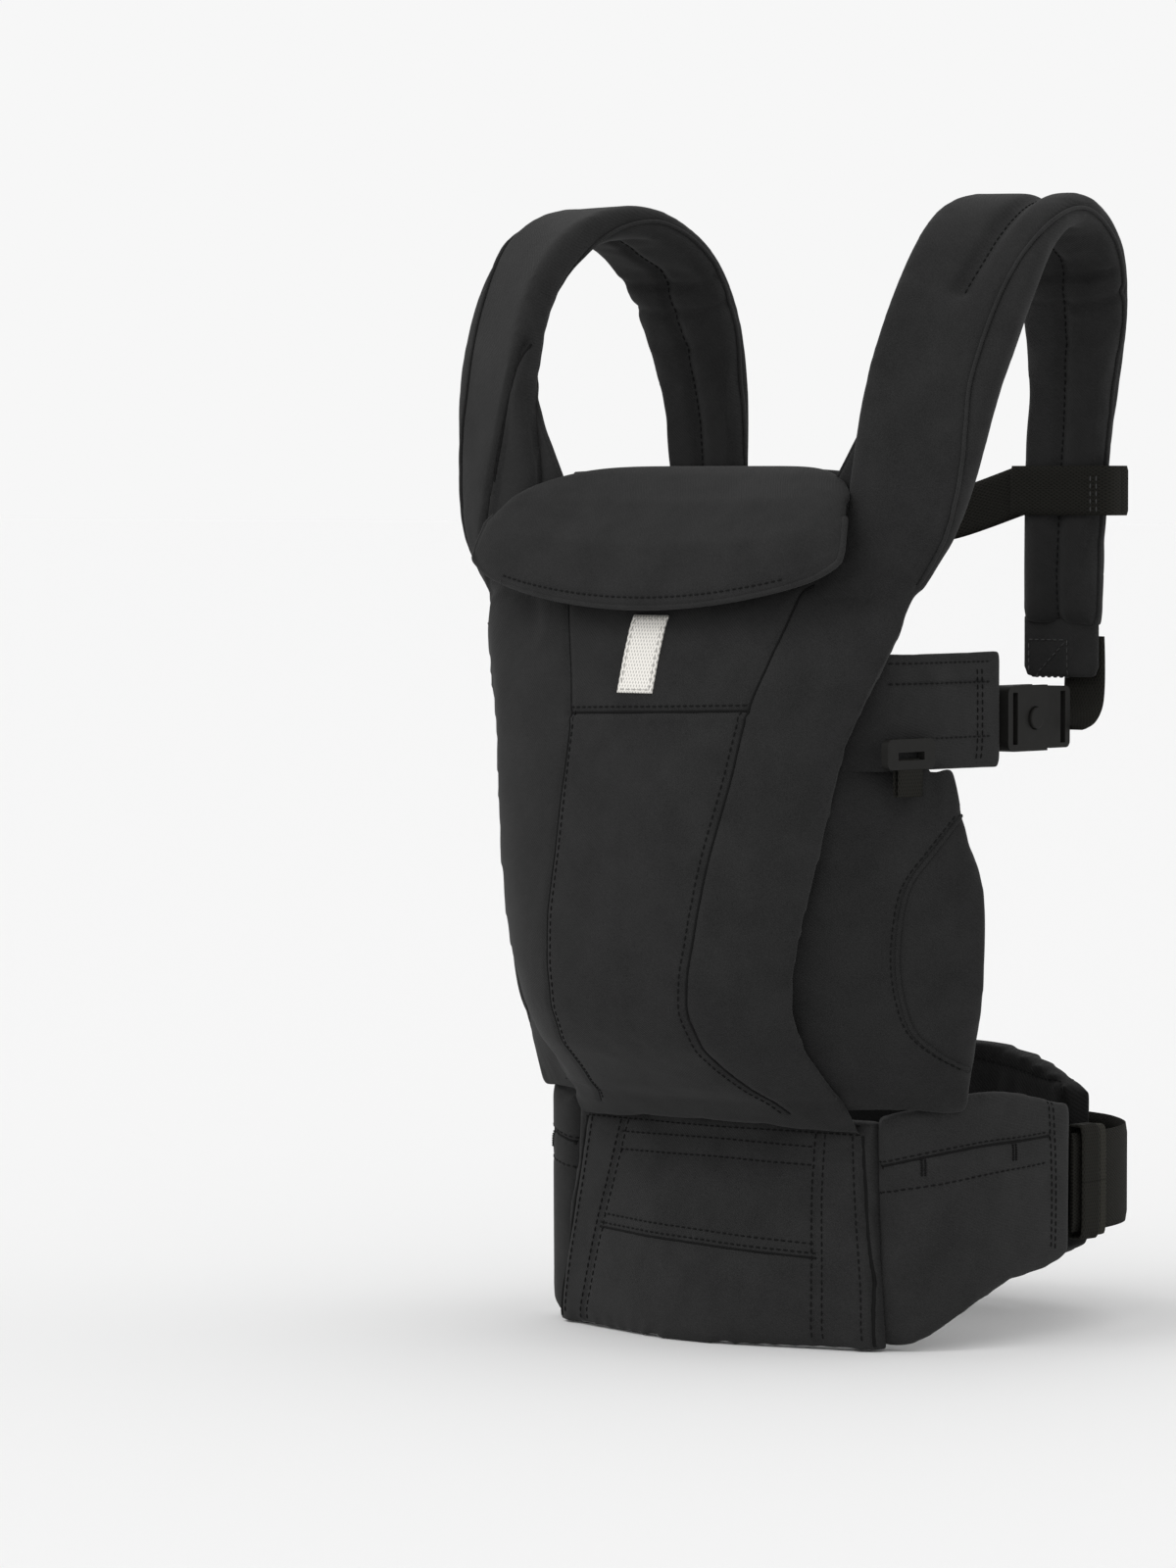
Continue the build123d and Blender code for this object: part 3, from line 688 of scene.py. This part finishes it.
crease(shell, [seam_right], 0.0011, 0.0021)
crease(shell, [seam_left], 0.0007, 0.0021)
crease(shell, [slit], 0.0013, 0.0019)
crease(shell, [[(p - Vector((0, 0, 0.0035)), n) for p, n in slit]], -0.0008, 0.002)
shell_tree = tree_of(shell)
# dark cords sunk into the seam creases and the slit: painted shade lines along them
tube("seam_shade_line_right", lay(shell_tree, SEAM_RIGHT), 0.0006)
tube("slit_shade_line", lay(shell_tree, SLIT), 0.0007, lift=-0.0001)
tube("seam_shade_line_left", lay(shell_tree, SEAM_LEFT), 0.00045, lift=-0.0001)
inner_right = [p - Vector((0.0035, 0, 0)) for p in SEAM_RIGHT[3:]]
inner_left = [p + Vector((0.003, 0, 0)) for p in SEAM_LEFT[2:]]
over_slit = [p + Vector((0, 0, 0.0028)) for p in SLIT]
stitches("shell_topstitch", [lay(shell_tree, line) for line in (inner_right, over_slit)])
stitches("shell_topstitch_left", [lay(shell_tree, inner_left)])

# ---- label: blank woven patch with a sewn border
LABEL_WIDE, LABEL_TALL, LABEL_Z = 0.022, 0.038, 0.3445
label_points, label_faces = [], []
columns, rows = 12, 20
for r in range(rows + 1):
    for c in range(columns + 1):
        x = (c / columns - 0.5) * LABEL_WIDE
        z = LABEL_Z + (r / rows - 0.5) * LABEL_TALL
        hit = shell_tree.ray_cast(Vector((x, -0.2, z)), FRONT, 0.2)
        label_points.append(hit[0] + hit[1] * 0.0009)
for r in range(rows):
    for c in range(columns):
        a = r * (columns + 1) + c
        label_faces.append((a, a + 1, a + columns + 2, a + columns + 1))
label = new_object("label_tag", label_points, label_faces, LABEL)
map_uv(label, lambda number, place: (place.x, place.z))
solid = label.modifiers.new("solid", "SOLIDIFY")
solid.thickness = 0.0012
applied(label)
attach(label, "carrier")
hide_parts("label_patch")
label_tree = tree_of(label)
inset = 0.0018
edge_x, edge_z = LABEL_WIDE / 2 - inset, LABEL_TALL / 2 - inset
corners = [(-edge_x, -edge_z), (edge_x, -edge_z), (edge_x, edge_z), (-edge_x, edge_z), (-edge_x, -edge_z)]
corners = [Vector((x, -0.13, LABEL_Z + z)) for x, z in corners]
border = [lay(label_tree, ends) for ends in zip(corners, corners[1:])]
stitches("label_border", border, "carrier", LABEL_THREAD, radius=0.00035)

# ---- head support flap, with a piped free edge
CORNER_X = 0.093                  # the corners beyond this are pieces of their own
FLAP_HALF = 0.0048                # half its thickness
FLAP_RIM = 0.12                   # share of that thickness left at the rim
FLAP_WIDE, FLAP_TALL = 150, 60    # faces across and down


def flap_middle_surface(u, v):
    """Middle of the flap at u from -1 to 1 across and v from 0 at the fold to 1 at the free edge."""
    half = np.interp(v, [0, 0.12, 0.5, 0.85, 1], [0.096, 0.106, 0.1145, 0.1172, 0.1165])
    top = 0.4365 - 0.010 * abs(u) ** 6
    low = 0.3680 + 0.0180 * u * u + 0.005 * abs(u) ** 14
    middle_y = np.interp(v, [0, 0.1, 0.3, 0.6, 1], [-0.069, -0.083, -0.105, -0.1255, -0.1375])
    end_y = np.interp(v, [0, 0.2, 0.5, 1], [-0.093, -0.109, -0.118, -0.1255])
    return Vector((u * half, middle_y + (end_y - middle_y) * abs(u) ** 3, top + (low - top) * v))


def flap_surface(u, v, face):
    """Outer or inner face of the flap, padded in the middle and thin at the rim."""
    step = 0.01
    across = flap_middle_surface(u + step, v) - flap_middle_surface(u - step, v)
    down = flap_middle_surface(u, min(v + step, 1)) - flap_middle_surface(u, max(v - step, 0))
    normal = down.cross(across).normalized()
    if normal.y > 0:
        normal = -normal
    swell = math.sqrt(max(0, 1 - abs(u) ** 10)) * math.sqrt(max(0, 1 - abs(2 * v - 1) ** 8))
    return flap_middle_surface(u, v) + normal * face * FLAP_HALF * (FLAP_RIM + (1 - FLAP_RIM) * swell)


flap_points, flap_faces = [], []
crowding = 0.86                   # how far the columns crowd towards the ends
for face in (1, -1):
    for r in range(FLAP_TALL + 1):
        v = 0.5 - 0.5 * math.cos(math.pi * r / FLAP_TALL)
        for c in range(FLAP_WIDE + 1):
            u = math.sin(math.pi / 2 * (2 * c / FLAP_WIDE - 1) * crowding)
            u /= math.sin(math.pi / 2 * crowding)
            flap_points.append(flap_surface(u, v, face))
row = FLAP_WIDE + 1
sheet_size = (FLAP_TALL + 1) * row
for r in range(FLAP_TALL):
    for c in range(FLAP_WIDE):
        p = r * row + c
        flap_faces.append((p, p + row, p + row + 1, p + 1))
        q = p + sheet_size
        flap_faces.append((q, q + 1, q + row + 1, q + row))
rim_index = [r * row for r in range(FLAP_TALL + 1)] + [FLAP_TALL * row + c for c in range(1, row)]
rim_index += [r * row + FLAP_WIDE for r in reversed(range(FLAP_TALL))] + list(reversed(range(FLAP_WIDE)))
for p, q in zip(rim_index, rim_index[1:]):
    flap_faces.append((q, p, p + sheet_size, q + sheet_size))
flap = new_object("head_flap", flap_points, flap_faces, CLOTH)
tail = (0.9, 0.8, 0.7, 0.6, 0.5, 0.4)
rim_points = [flap_middle_surface(-1, v) for v in reversed(tail)]
rim_points += [flap_middle_surface(u, 1) for u in np.linspace(-1, 1, 61)]
rim_points += [flap_middle_surface(1, v) for v in tail]
rim = [(p, Vector((0, -0.6, -0.8))) for p in curve_points(rim_points, 0.001)]
flap_tree = tree_of(flap)
hem = [flap_middle_surface(u, 0.93) for u in np.linspace(-0.97, 0.97, 41)]
crease(flap, [lay(flap_tree, hem)], 0.0005, 0.0018)
flap_tree = tree_of(flap)
centre_faces = [polygon for polygon in flap.data.polygons if abs(polygon.center.x) < CORNER_X]
flap_middle = part_of(flap.data, "head_flap_panel", centre_faces)
finish_soft(flap_middle, ("head_support_panel",), "head_support")
centre_rim = [(p, n) for p, n in rim if abs(p.x) <= CORNER_X]
tube("flap_piping", centre_rim, 0.0017, STRAP_CLOTH, "head_support")
stitches("flap_hem_stitch", [lay(flap_tree, [p for p in hem if abs(p.x) < CORNER_X])],
         "head_support")
for side, sign in SIDES:
    end_faces = [polygon for polygon in flap.data.polygons if sign * polygon.center.x >= CORNER_X]
    corner = part_of(flap.data, "head_flap_corner_" + side, end_faces)
    end_rim = [(p, n) for p, n in rim if sign * p.x > CORNER_X - 0.001]
    pipe = tube("flap_piping_" + side, end_rim, 0.0017, STRAP_CLOTH, None)
    for piece in (corner, pipe):
        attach(piece, "head_support")
        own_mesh(piece)
    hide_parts("head_support_corner_" + side)
bpy.data.objects.remove(flap)

# ---- soft hinge: the collar's cloth runs up to the line that the flap folds on
HINGE_COLUMNS, HINGE_RING = 48, 16
HINGE_X, HINGE_Y, HINGE_Z = 0.087, -0.0695, 0.4285       # half its length, and its place at the middle
HINGE_HALF_DEEP, HINGE_HALF_TALL = 0.0036, 0.0085
hinge_points = []
for c in range(HINGE_COLUMNS + 1):
    x = (2 * c / HINGE_COLUMNS - 1) * HINGE_X
    end_share = (abs(x) / HINGE_X) ** 3
    bulge = HINGE_HALF_DEEP * (1 - 0.3 * abs(x / HINGE_X) ** 12)
    for k in range(HINGE_RING):
        angle = 2 * math.pi * k / HINGE_RING
        y = HINGE_Y - 0.012 * end_share + bulge * math.cos(angle)
        rise = math.copysign(abs(math.sin(angle)) ** 0.7, math.sin(angle))
        hinge_points.append((x, y, HINGE_Z - 0.002 * end_share + HINGE_HALF_TALL * rise))
hinge_faces = skin(HINGE_COLUMNS + 1, HINGE_RING, inside_out=True)
hinge = new_object("collar_hinge", hinge_points, hinge_faces, CLOTH, "carrier")

# ---- shoulder straps
STRAP_LINE = [(122, -91, 379.5), (126.5, -89, 404), (132, -86, 430), (141, -79, 480), (145, -59, 526),
              (142, -31, 556), (136, 6, 564.5), (130, 40, 547), (124.5, 57, 515), (120, 63, 480),
              (117, 63, 446), (114.5, 63, 400), (113, 63, 358)]
OUTER_SEAM = [(148, -66, 522), (151, -53, 543), (151, -28, 563), (145, 6, 573), (137, 40, 556),
              (130, 62, 515), (122, 70, 480), (117, 70, 446), (114, 70, 400), (113, 70, 362)]
REAR_Y, REAR_HALF = 0.063, 0.0078                        # middle and half thickness of the rear run
LEFT_FOLD = [(113, -88, 500), (118, -92, 478), (123, -96, 456), (129, -99, 430), (134, -102, 400)]


def around(tree, points, outside, spacing=0.001):
    """Lay a line on a strap from inside its loop, or from outside it."""
    placed = []
    for point in curve_points(points, spacing):
        centre = Vector((point.x, -0.008, min(point.z, 0.47)))
        direction = (point - centre).normalized()
        facing = direction if outside else -direction
        hit = tree.ray_cast(point + facing * 0.04, -facing, 0.06)
        if hit[0] is not None:
            placed.append((hit[0], hit[1] if hit[1].dot(facing) > 0 else -hit[1]))
    return placed


def strap_edge(tree, sign, outer):
    """Line along one edge of a strap, where its two covers are sewn together."""
    way = sign if outer else -sign
    placed = []
    for point in curve_points(both(sign, STRAP_LINE), 0.001):
        hit = tree.ray_cast(point + Vector((way * 0.07, 0, 0)), Vector((-way, 0, 0)), 0.07)
        if hit[0] is not None:
            placed.append((hit[0], hit[1] if hit[1].x * way > 0 else -hit[1]))
    return placed


def gusset(side, sign, edge):
    """Small triangle of cloth between the inner edge of a strap's front run and the flap."""
    low_z, high_z, across = 0.424, 0.497, 14
    line = [point for point, normal in edge if point.y < -0.05 and low_z < point.z < high_z]
    columns = list(range(across + 1))
    points = []
    for point in line:
        share = (high_z - point.z) / (high_z - low_z)
        reach = 0.019 * share ** 1.3
        for face, order in ((1, columns), (-1, columns[::-1])):
            for c in order:
                t = c / across
                thick = 0.0022 * math.sqrt(max(0.0, 1 - abs(2 * t - 1) ** 6)) + 0.0002
                x = point.x + sign * 0.009 * (1 - t) - sign * reach * t
                points.append(Vector((x, point.y - 0.001 - 0.003 * t - face * thick, point.z)))
    ring = 2 * (across + 1)
    faces = skin(len(line), ring, inside_out=True)
    piece = new_object("strap_gusset_" + side, points, faces, CLOTH, "carrier")
    rim = [(points[r * ring + across], Vector((0, -1, 0))) for r in range(len(line))]
    tube("gusset_piping_" + side, rim[::2], 0.0011, CLOTH)


for side, sign in SIDES:
    # the chest strap's loop slides on the rear run, so the padding there stays slim
    places = coordinates(shell.data)
    rear = np.clip(np.minimum(places[:, 2] - 0.372, 0.480 - places[:, 2]) / 0.02, 0, 1)
    rear *= (places[:, 1] > 0.03) * (places[:, 0] * sign > 0)
    slim = np.clip(places[:, 1], REAR_Y - REAR_HALF, REAR_Y + REAR_HALF)
    places[:, 1] += rear * (slim - places[:, 1])
    # on the left the inner part of the front run sinks behind a long fold
    if sign < 0:
        fold_x, fold_z = np.array([(x, z) for x, y, z in reversed(LEFT_FOLD)]).T * MM
        inside = np.clip((np.interp(places[:, 2], fold_z, fold_x) - sign * places[:, 0]) / 0.003, 0, 1)
        height = np.clip((0.500 - places[:, 2]) / 0.05, 0, 1) * np.clip((places[:, 2] - 0.37) / 0.02, 0, 1)
        front = (places[:, 1] < -0.03) * (places[:, 0] * sign > 0.09)
        front_face = np.clip(-normals(shell.data)[:, 1] * 2, 0, 1)
        places[:, 1] += 0.0045 * inside * height * front * front_face
    move_to(shell.data, places)
    tree = tree_of(shell)
    outer_seam = OUTER_SEAM if sign > 0 else OUTER_SEAM[3:]
    seams = [around(tree, both(sign, outer_seam), True), around(tree, both(sign, STRAP_LINE[6:]), False)]
    crease(shell, seams, 0.0026, 0.0042)
    crease(shell, [around(tree, both(sign, outer_seam[:6]), True)], 0.0020, 0.0060)
    if sign < 0:
        crease(shell, [lay(tree, both(sign, LEFT_FOLD))], 0.0036, 0.0024)
    bends = [both(sign, [(96, 52, z), (127, 52, z + 2), (158, 52, z)]) for z in (547, 524)]
    crease(shell, [around(tree, bend, False) for bend in bends], 0.0022, 0.003)
    cross_seam = both(sign, [(97, -109, 373), (119, -102, 373), (150, -90, 374)])
    crease(shell, [lay(tree, cross_seam)], 0.0006, 0.0018)
    tree = tree_of(shell)
    for edge_name, outer in (("outer", True), ("inner", False)):
        line = strap_edge(tree, sign, outer)
        crease(shell, [line], 0.0006, 0.002)
        pipe_name = "strap_piping_%s_%s" % (edge_name, side)
        tube(pipe_name, line[::2], 0.0010, STRAP_CLOTH, lift=0.0002)
    tree = tree_of(shell)
    if sign < 0:
        # a dark cord in the long fold of the left strap: a painted shade line
        tube("strap_fold_shade_line", lay(tree, both(sign, LEFT_FOLD[:-1])), 0.0007, lift=-0.0002)
    gusset(side, sign, strap_edge(tree, sign, False))
    quilting = [around(tree, both(sign, outer_seam), True), around(tree, both(sign, STRAP_LINE[6:]), False)]
    stitches("strap_quilting_" + side, quilting)

    tab = soft["strap_tab_" + side]
    finish_soft(tab, ("strap_end_tab_" + side,))
    tab_tree = tree_of(tab)
    box = [(94, 328), (94, 350), (118, 350), (118, 328), (94, 328), (118, 350)]
    for face, way in (("inner", 1), ("outer", -1)):
        rows = []
        for (x0, z0), (x1, z1) in zip(box, box[1:]):
            ends = both(sign, [(x0, 63, z0), (x1, 63, z1)])
            rows.append(lay(tab_tree, ends, Vector((0, way, 0)), reach=0.01))
        stitches("tab_box_stitch_%s_%s" % (face, side), rows, material=THREAD, radius=0.00038)

cut = divide(shell, {"carrier_shell": SHELL, "neck_collar_pad": ("neck_collar",),
                     "strap_pad_left": ("shoulder_strap_left",),
                     "strap_pad_right": ("shoulder_strap_right",)})
finish_soft(cut["carrier_shell"], SHELL)
finish_soft(cut["neck_collar_pad"], ("neck_collar",))
for side, sign in SIDES:
    finish_soft(cut["strap_pad_" + side], ("shoulder_strap_" + side,))

# ---- waist belt
belt = soft["belt_front"]
belt_tree = tree_of(belt)
BAND_LEFT = [(-60, -73, 106), (-66, -76, 77), (-73, -80, 46), (-80, -84, 3)]
BAND_RIGHT = [(65, -72, 106), (66, -76, 77), (69, -80, 46), (73, -85, 3)]
EDGE = [(89, -66, 106), (92, -70, 80), (95, -73, 58), (99, -76, 30), (101, -77, 3)]
UPPER_ROWS = [[(-62, -74, z), (-30, -80, z + 0.3), (5, -81, z + 0.6), (35, -79, z), (65, -74, z - 0.5)]
              for z in (100, 91)]
LOWER_ROWS = [[(-70, -77, 58), (-30, -88, 56.5), (7, -92, 55), (68, -80, 52)],
              [(-72, -77, 51), (-30, -88, 49.5), (7, -92, 48), (69, -80, 45)]]
lines = [in_mm(row) for row in [BAND_LEFT, BAND_RIGHT] + UPPER_ROWS[1:] + LOWER_ROWS[1:]]
crease(belt, [lay(belt_tree, line) for line in lines], 0.0008, 0.0019)
for sign in (-1, 1):
    crease(belt, [lay(belt_tree, both(sign, EDGE))], 0.0016, 0.0018)
belt_tree = tree_of(belt)
rows = [in_mm(row) for row in UPPER_ROWS + LOWER_ROWS[:1]]
rows += [[spot(x, y, z + 2.4) for x, y, z in LOWER_ROWS[1]]]
rows += [[spot(x + dx, y, z) for x, y, z in BAND_RIGHT] for dx in (-2.4, 3.2)]
rows += [[spot(x + dx, y, z) for x, y, z in BAND_LEFT] for dx in (-3.0, 2.4)]
rows += [both(sign, [(x - 5, y, z) for x, y, z in EDGE]) for sign in (-1, 1)]
stitches("belt_front_stitch", [lay(belt_tree, row) for row in rows])
# dark cords sunk in the band's seam and the panel's edge folds: painted shade lines
tube("belt_band_shade_line", lay(belt_tree, lines[-1]), 0.0006, lift=-0.0001)
for side, sign in SIDES:
    tube("belt_edge_shade_line_" + side, lay(belt_tree, both(sign, EDGE)), 0.0011, lift=-0.0005)
binding = ((-88, -64), (-50, -74), (0, -79), (50, -74), (88, -64))
rows = [lay(belt_tree, in_mm([(x, y, z) for x, y in binding])) for z in (106.5, 111)]
stitches("belt_binding_stitch", rows)
cut = divide(belt, {"belt_front_pad": ("belt_front_panel",), "belt_binding": ("belt_top_binding",)})
finish_soft(cut["belt_front_pad"], ("belt_front_panel",))
finish_soft(cut["belt_binding"], ("belt_top_binding",))

for side, sign in SIDES:
    wing = soft["belt_wing_pad_" + side]
    tree = tree_of(wing)
    outward = Vector((-sign * 0.8, 0.6, 0))
    upper = [(98, -69, 91), (112, -63, 95), (125, -53, 98), (135, -30, 101), (138, -1, 102), (139, 18, 103)]
    lower = [(98, -70, 78), (112, -64, 81), (128, -49, 84), (136, -27, 87), (138, 3, 89), (139, 18, 90)]
    end = [(139, 21, 121), (139, 23, 83), (139, 23, 45)]
    crease(wing, [lay(tree, both(sign, upper), outward)], 0.0012, 0.0019)
    crease(wing, [lay(tree, both(sign, lower), outward)], 0.0005, 0.0017)
    tree = tree_of(wing)
    # a dark cord in the channel's crease: a painted shade line
    tube("wing_channel_shade_line_" + side, lay(tree, both(sign, upper), outward), 0.0006)
    rows = [[(x, y, z + 2.2) for x, y, z in upper], lower, end, [(x, y - 3.5, z) for x, y, z in end]]
    stitches("wing_stitch_" + side, [lay(tree, both(sign, row), outward) for row in rows])
    holes = []
    for x, y, z in ((118, -59, 92.5), (137.5, -9, 97.5)):
        for shift in (-0.8, 0.8):
            ends = [(x + shift * 0.6, y + shift, end_z) for end_z in (z - 5, z + 4)]
            holes.append(lay(tree, both(sign, ends), outward))
    stitches("wing_button_hole_" + side, holes, length=0.0011, gap=0.0001, radius=0.0006)
    finish_soft(wing, ("belt_wing_" + side,))

lumbar = soft["lumbar_cushion"]
tree = tree_of(lumbar)
border = in_mm([(-84, 110, 42), (-84, 110, 112), (-60, 118, 122), (0, 124, 128), (60, 118, 122),
                (84, 110, 112), (84, 110, 42), (60, 118, 32), (0, 124, 26), (-60, 118, 32), (-84, 110, 42)])
for direction in (FRONT, REAR):
    crease(lumbar, [lay(tree, border, direction, reach=0.05)], 0.0012, 0.0024)
tree = tree_of(lumbar)
rows = [lay(tree, border, direction, reach=0.05) for direction in (FRONT, REAR)]
stitches("lumbar_stitch", rows, "lumbar")
finish_soft(lumbar, ("lumbar_pad",), "lumbar")

# ---- thigh panels: cover, piped curved seam and cushion
PIPE = [(139, -56, 266), (132, -68, 250), (125, -80, 232), (121, -83, 210), (121, -83, 186),
        (124, -76, 162), (130, -63, 149), (138, -47, 140)]
for side, sign in SIDES:
    cloth = soft["thigh_cloth_" + side]
    tree = tree_of(cloth)
    way = Vector((-sign * 0.7, 0.7, 0))
    crease(cloth, [lay(tree, both(sign, PIPE), way)], 0.0016, 0.003)
    tree = tree_of(cloth)
    line = lay(tree, both(sign, PIPE), way)
    tube("thigh_piping_" + side, line, 0.0011, PANEL_CLOTH, lift=0.0002)
    line = lay(tree, both(sign, [(x - 2.5, y - 2.5, z) for x, y, z in PIPE]), way)
    stitches("thigh_topstitch_" + side, [line], radius=0.00034)
    cut = divide(cloth, {"thigh_cover_" + side: ("thigh_panel_" + side,),
                         "thigh_pad_" + side: ("thigh_cushion_" + side,)})
    finish_soft(cut["thigh_cover_" + side], ("thigh_panel_" + side,))
    finish_soft(cut["thigh_pad_" + side], ("thigh_cushion_" + side,))

    band = soft["side_band_cloth_" + side]
    tree = tree_of(band)
    outward = Vector((-sign, 0.15, 0))
    rows = []
    for z in (341, 331, 304):
        line = [(124, -92, z), (127, -70, z), (127, -40, z), (127, -14, z)]
        rows.append(lay(tree, both(sign, line), outward))
    for y in (-28, -24):
        rows.append(lay(tree, both(sign, [(127, y, 293), (127, y, 341)]), outward))
    crease(band, rows[1:2], 0.0005, 0.0014)
    tree = tree_of(band)
    stitches("band_stitch_" + side, rows)
    finish_soft(band, ("side_band_" + side,))

# ---------------------------------------------------------------- webbing
WAIST_Z, WAIST_X = 77, 133
CHEST_Y, CHEST_LOOP_X, CHEST_LOOP_Z = 60, 117.5, 425.5
WAIST_ENDS = {-1: [(-50, 155)], 1: [(44, 153.5), (21, 155)]}
CHEST_ENDS = {-1: (-35.5, -60, -88), 1: (15.5, 48, 88)}


def rounded(half_a, half_b, power, count):
    """Closed loop of points on a rectangle with round corners, as pairs."""
    loop = []
    for angle in np.linspace(0, 2 * math.pi, count):
        ways = ((half_a, math.cos(angle)), (half_b, math.sin(angle)))
        loop.append([half * math.copysign(abs(way) ** power, way) for half, way in ways])
    return loop


for side, sign in SIDES:
    route = [(sign * x, y) for x, y in ((134, 44), (133, 77), (120, 110), (92, 137.5), (66, 149.5))]
    spine = in_mm([(x, y, WAIST_Z) for x, y in route + WAIST_ENDS[sign]])
    piece = ribbon("waist_strap_" + side, spine, UP, 0.050, 0.002)
    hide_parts("waist_webbing_" + side)
    if sign < 0:
        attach(piece, "carrier")
    else:
        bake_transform(piece)

    # keeper: a loop of webbing at the end of the wing, and a thin elastic loop beside it
    keeper = in_mm([(sign * WAIST_X + x, 55, WAIST_Z + z) for x, z in rounded(5, 28.5, 0.28, 29)])
    piece = ribbon("waist_keeper_" + side, keeper, FRONT, 0.015, 0.0016, "carrier", spacing=0.0015)
    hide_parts("waist_web_keeper_" + side)
    elastic = rounded(4.2, 27.5, 0.28, 29)
    elastic = in_mm([(sign * WAIST_X + x - sign * 1.5, 68, WAIST_Z + z) for x, z in elastic])
    ribbon("waist_elastic_" + side, elastic, FRONT, 0.006, 0.0016, "carrier", ELASTIC, 0.0015)

    # chest strap: a loop around each strap's rear run, and webbing to its buckle half
    loop = in_mm([(sign * CHEST_LOOP_X + x, 63 + y, CHEST_LOOP_Z) for x, y in rounded(31.4, 9.2, 0.3, 41)])
    piece = ribbon("chest_loop_web_" + side, loop, UP, 0.025, 0.0018, "chest_strap")
    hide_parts("chest_loop_" + side)
    loop_tree = tree_of(piece)
    rows = []
    for x in (138, 141.5):
        for way in (FRONT, REAR):
            rows.append(lay(loop_tree, both(sign, [(x, 63, 415), (x, 63, 436)]), way))
    stitches("chest_loop_stitch_" + side, rows, "chest_strap", THREAD, radius=0.0004)
    spine = in_mm([(x, CHEST_Y, z) for x, z in zip(CHEST_ENDS[sign], (409, 413.5, 425))])
    piece = ribbon("chest_web_" + side, spine, UP, 0.025, 0.0018)
    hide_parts("chest_webbing_" + side)
    if sign < 0:
        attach(piece, "chest_strap")
    else:
        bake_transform(piece)

    # adjusting webbing of the shoulder strap and the webbing tab of the seat slider
    spine = both(sign, [(124.5, 66.6, 352), (124.5, 67.2, 340), (124.5, 67.0, 326), (124.5, 65, 316),
                        (124.5, 59, 309), (124.5, 51, 306)])
    piece = ribbon("strap_web_" + side, spine, (1, 0, 0), 0.025, 0.0018)
    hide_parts("strap_webbing_" + side)
    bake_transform(piece)
    low_box, high_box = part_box("seat_slider_" + side)
    tab_x, tab_y = sign * 0.129, (low_box[1] + high_box[1]) / 2 / MM
    route = ((130.4, 276), (130.6, 283), (130.4, 291), (129, 294.5), (127.8, 291), (127.9, 283),
             (128.2, 276))
    spine = both(sign, [(x, tab_y, z) for x, z in route])
    piece = ribbon("seat_web_" + side, spine, FRONT, 0.020, 0.0012, spacing=0.001)
    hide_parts("seat_tab_" + side)
    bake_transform(piece)

# ---------------------------------------------------------------- moulded hardware
for name, obj in nodes.items():
    if obj.hide_render:
        continue
    for slot in obj.material_slots:
        slot.material = PLASTIC
    if not obj.material_slots:
        obj.data.materials.append(PLASTIC)
    bevel = obj.modifiers.new("edges", "BEVEL")
    bevel.width = 0.0004
    bevel.segments = 2
    bevel.limit_method = "ANGLE"
    bevel.angle_limit = math.radians(35)
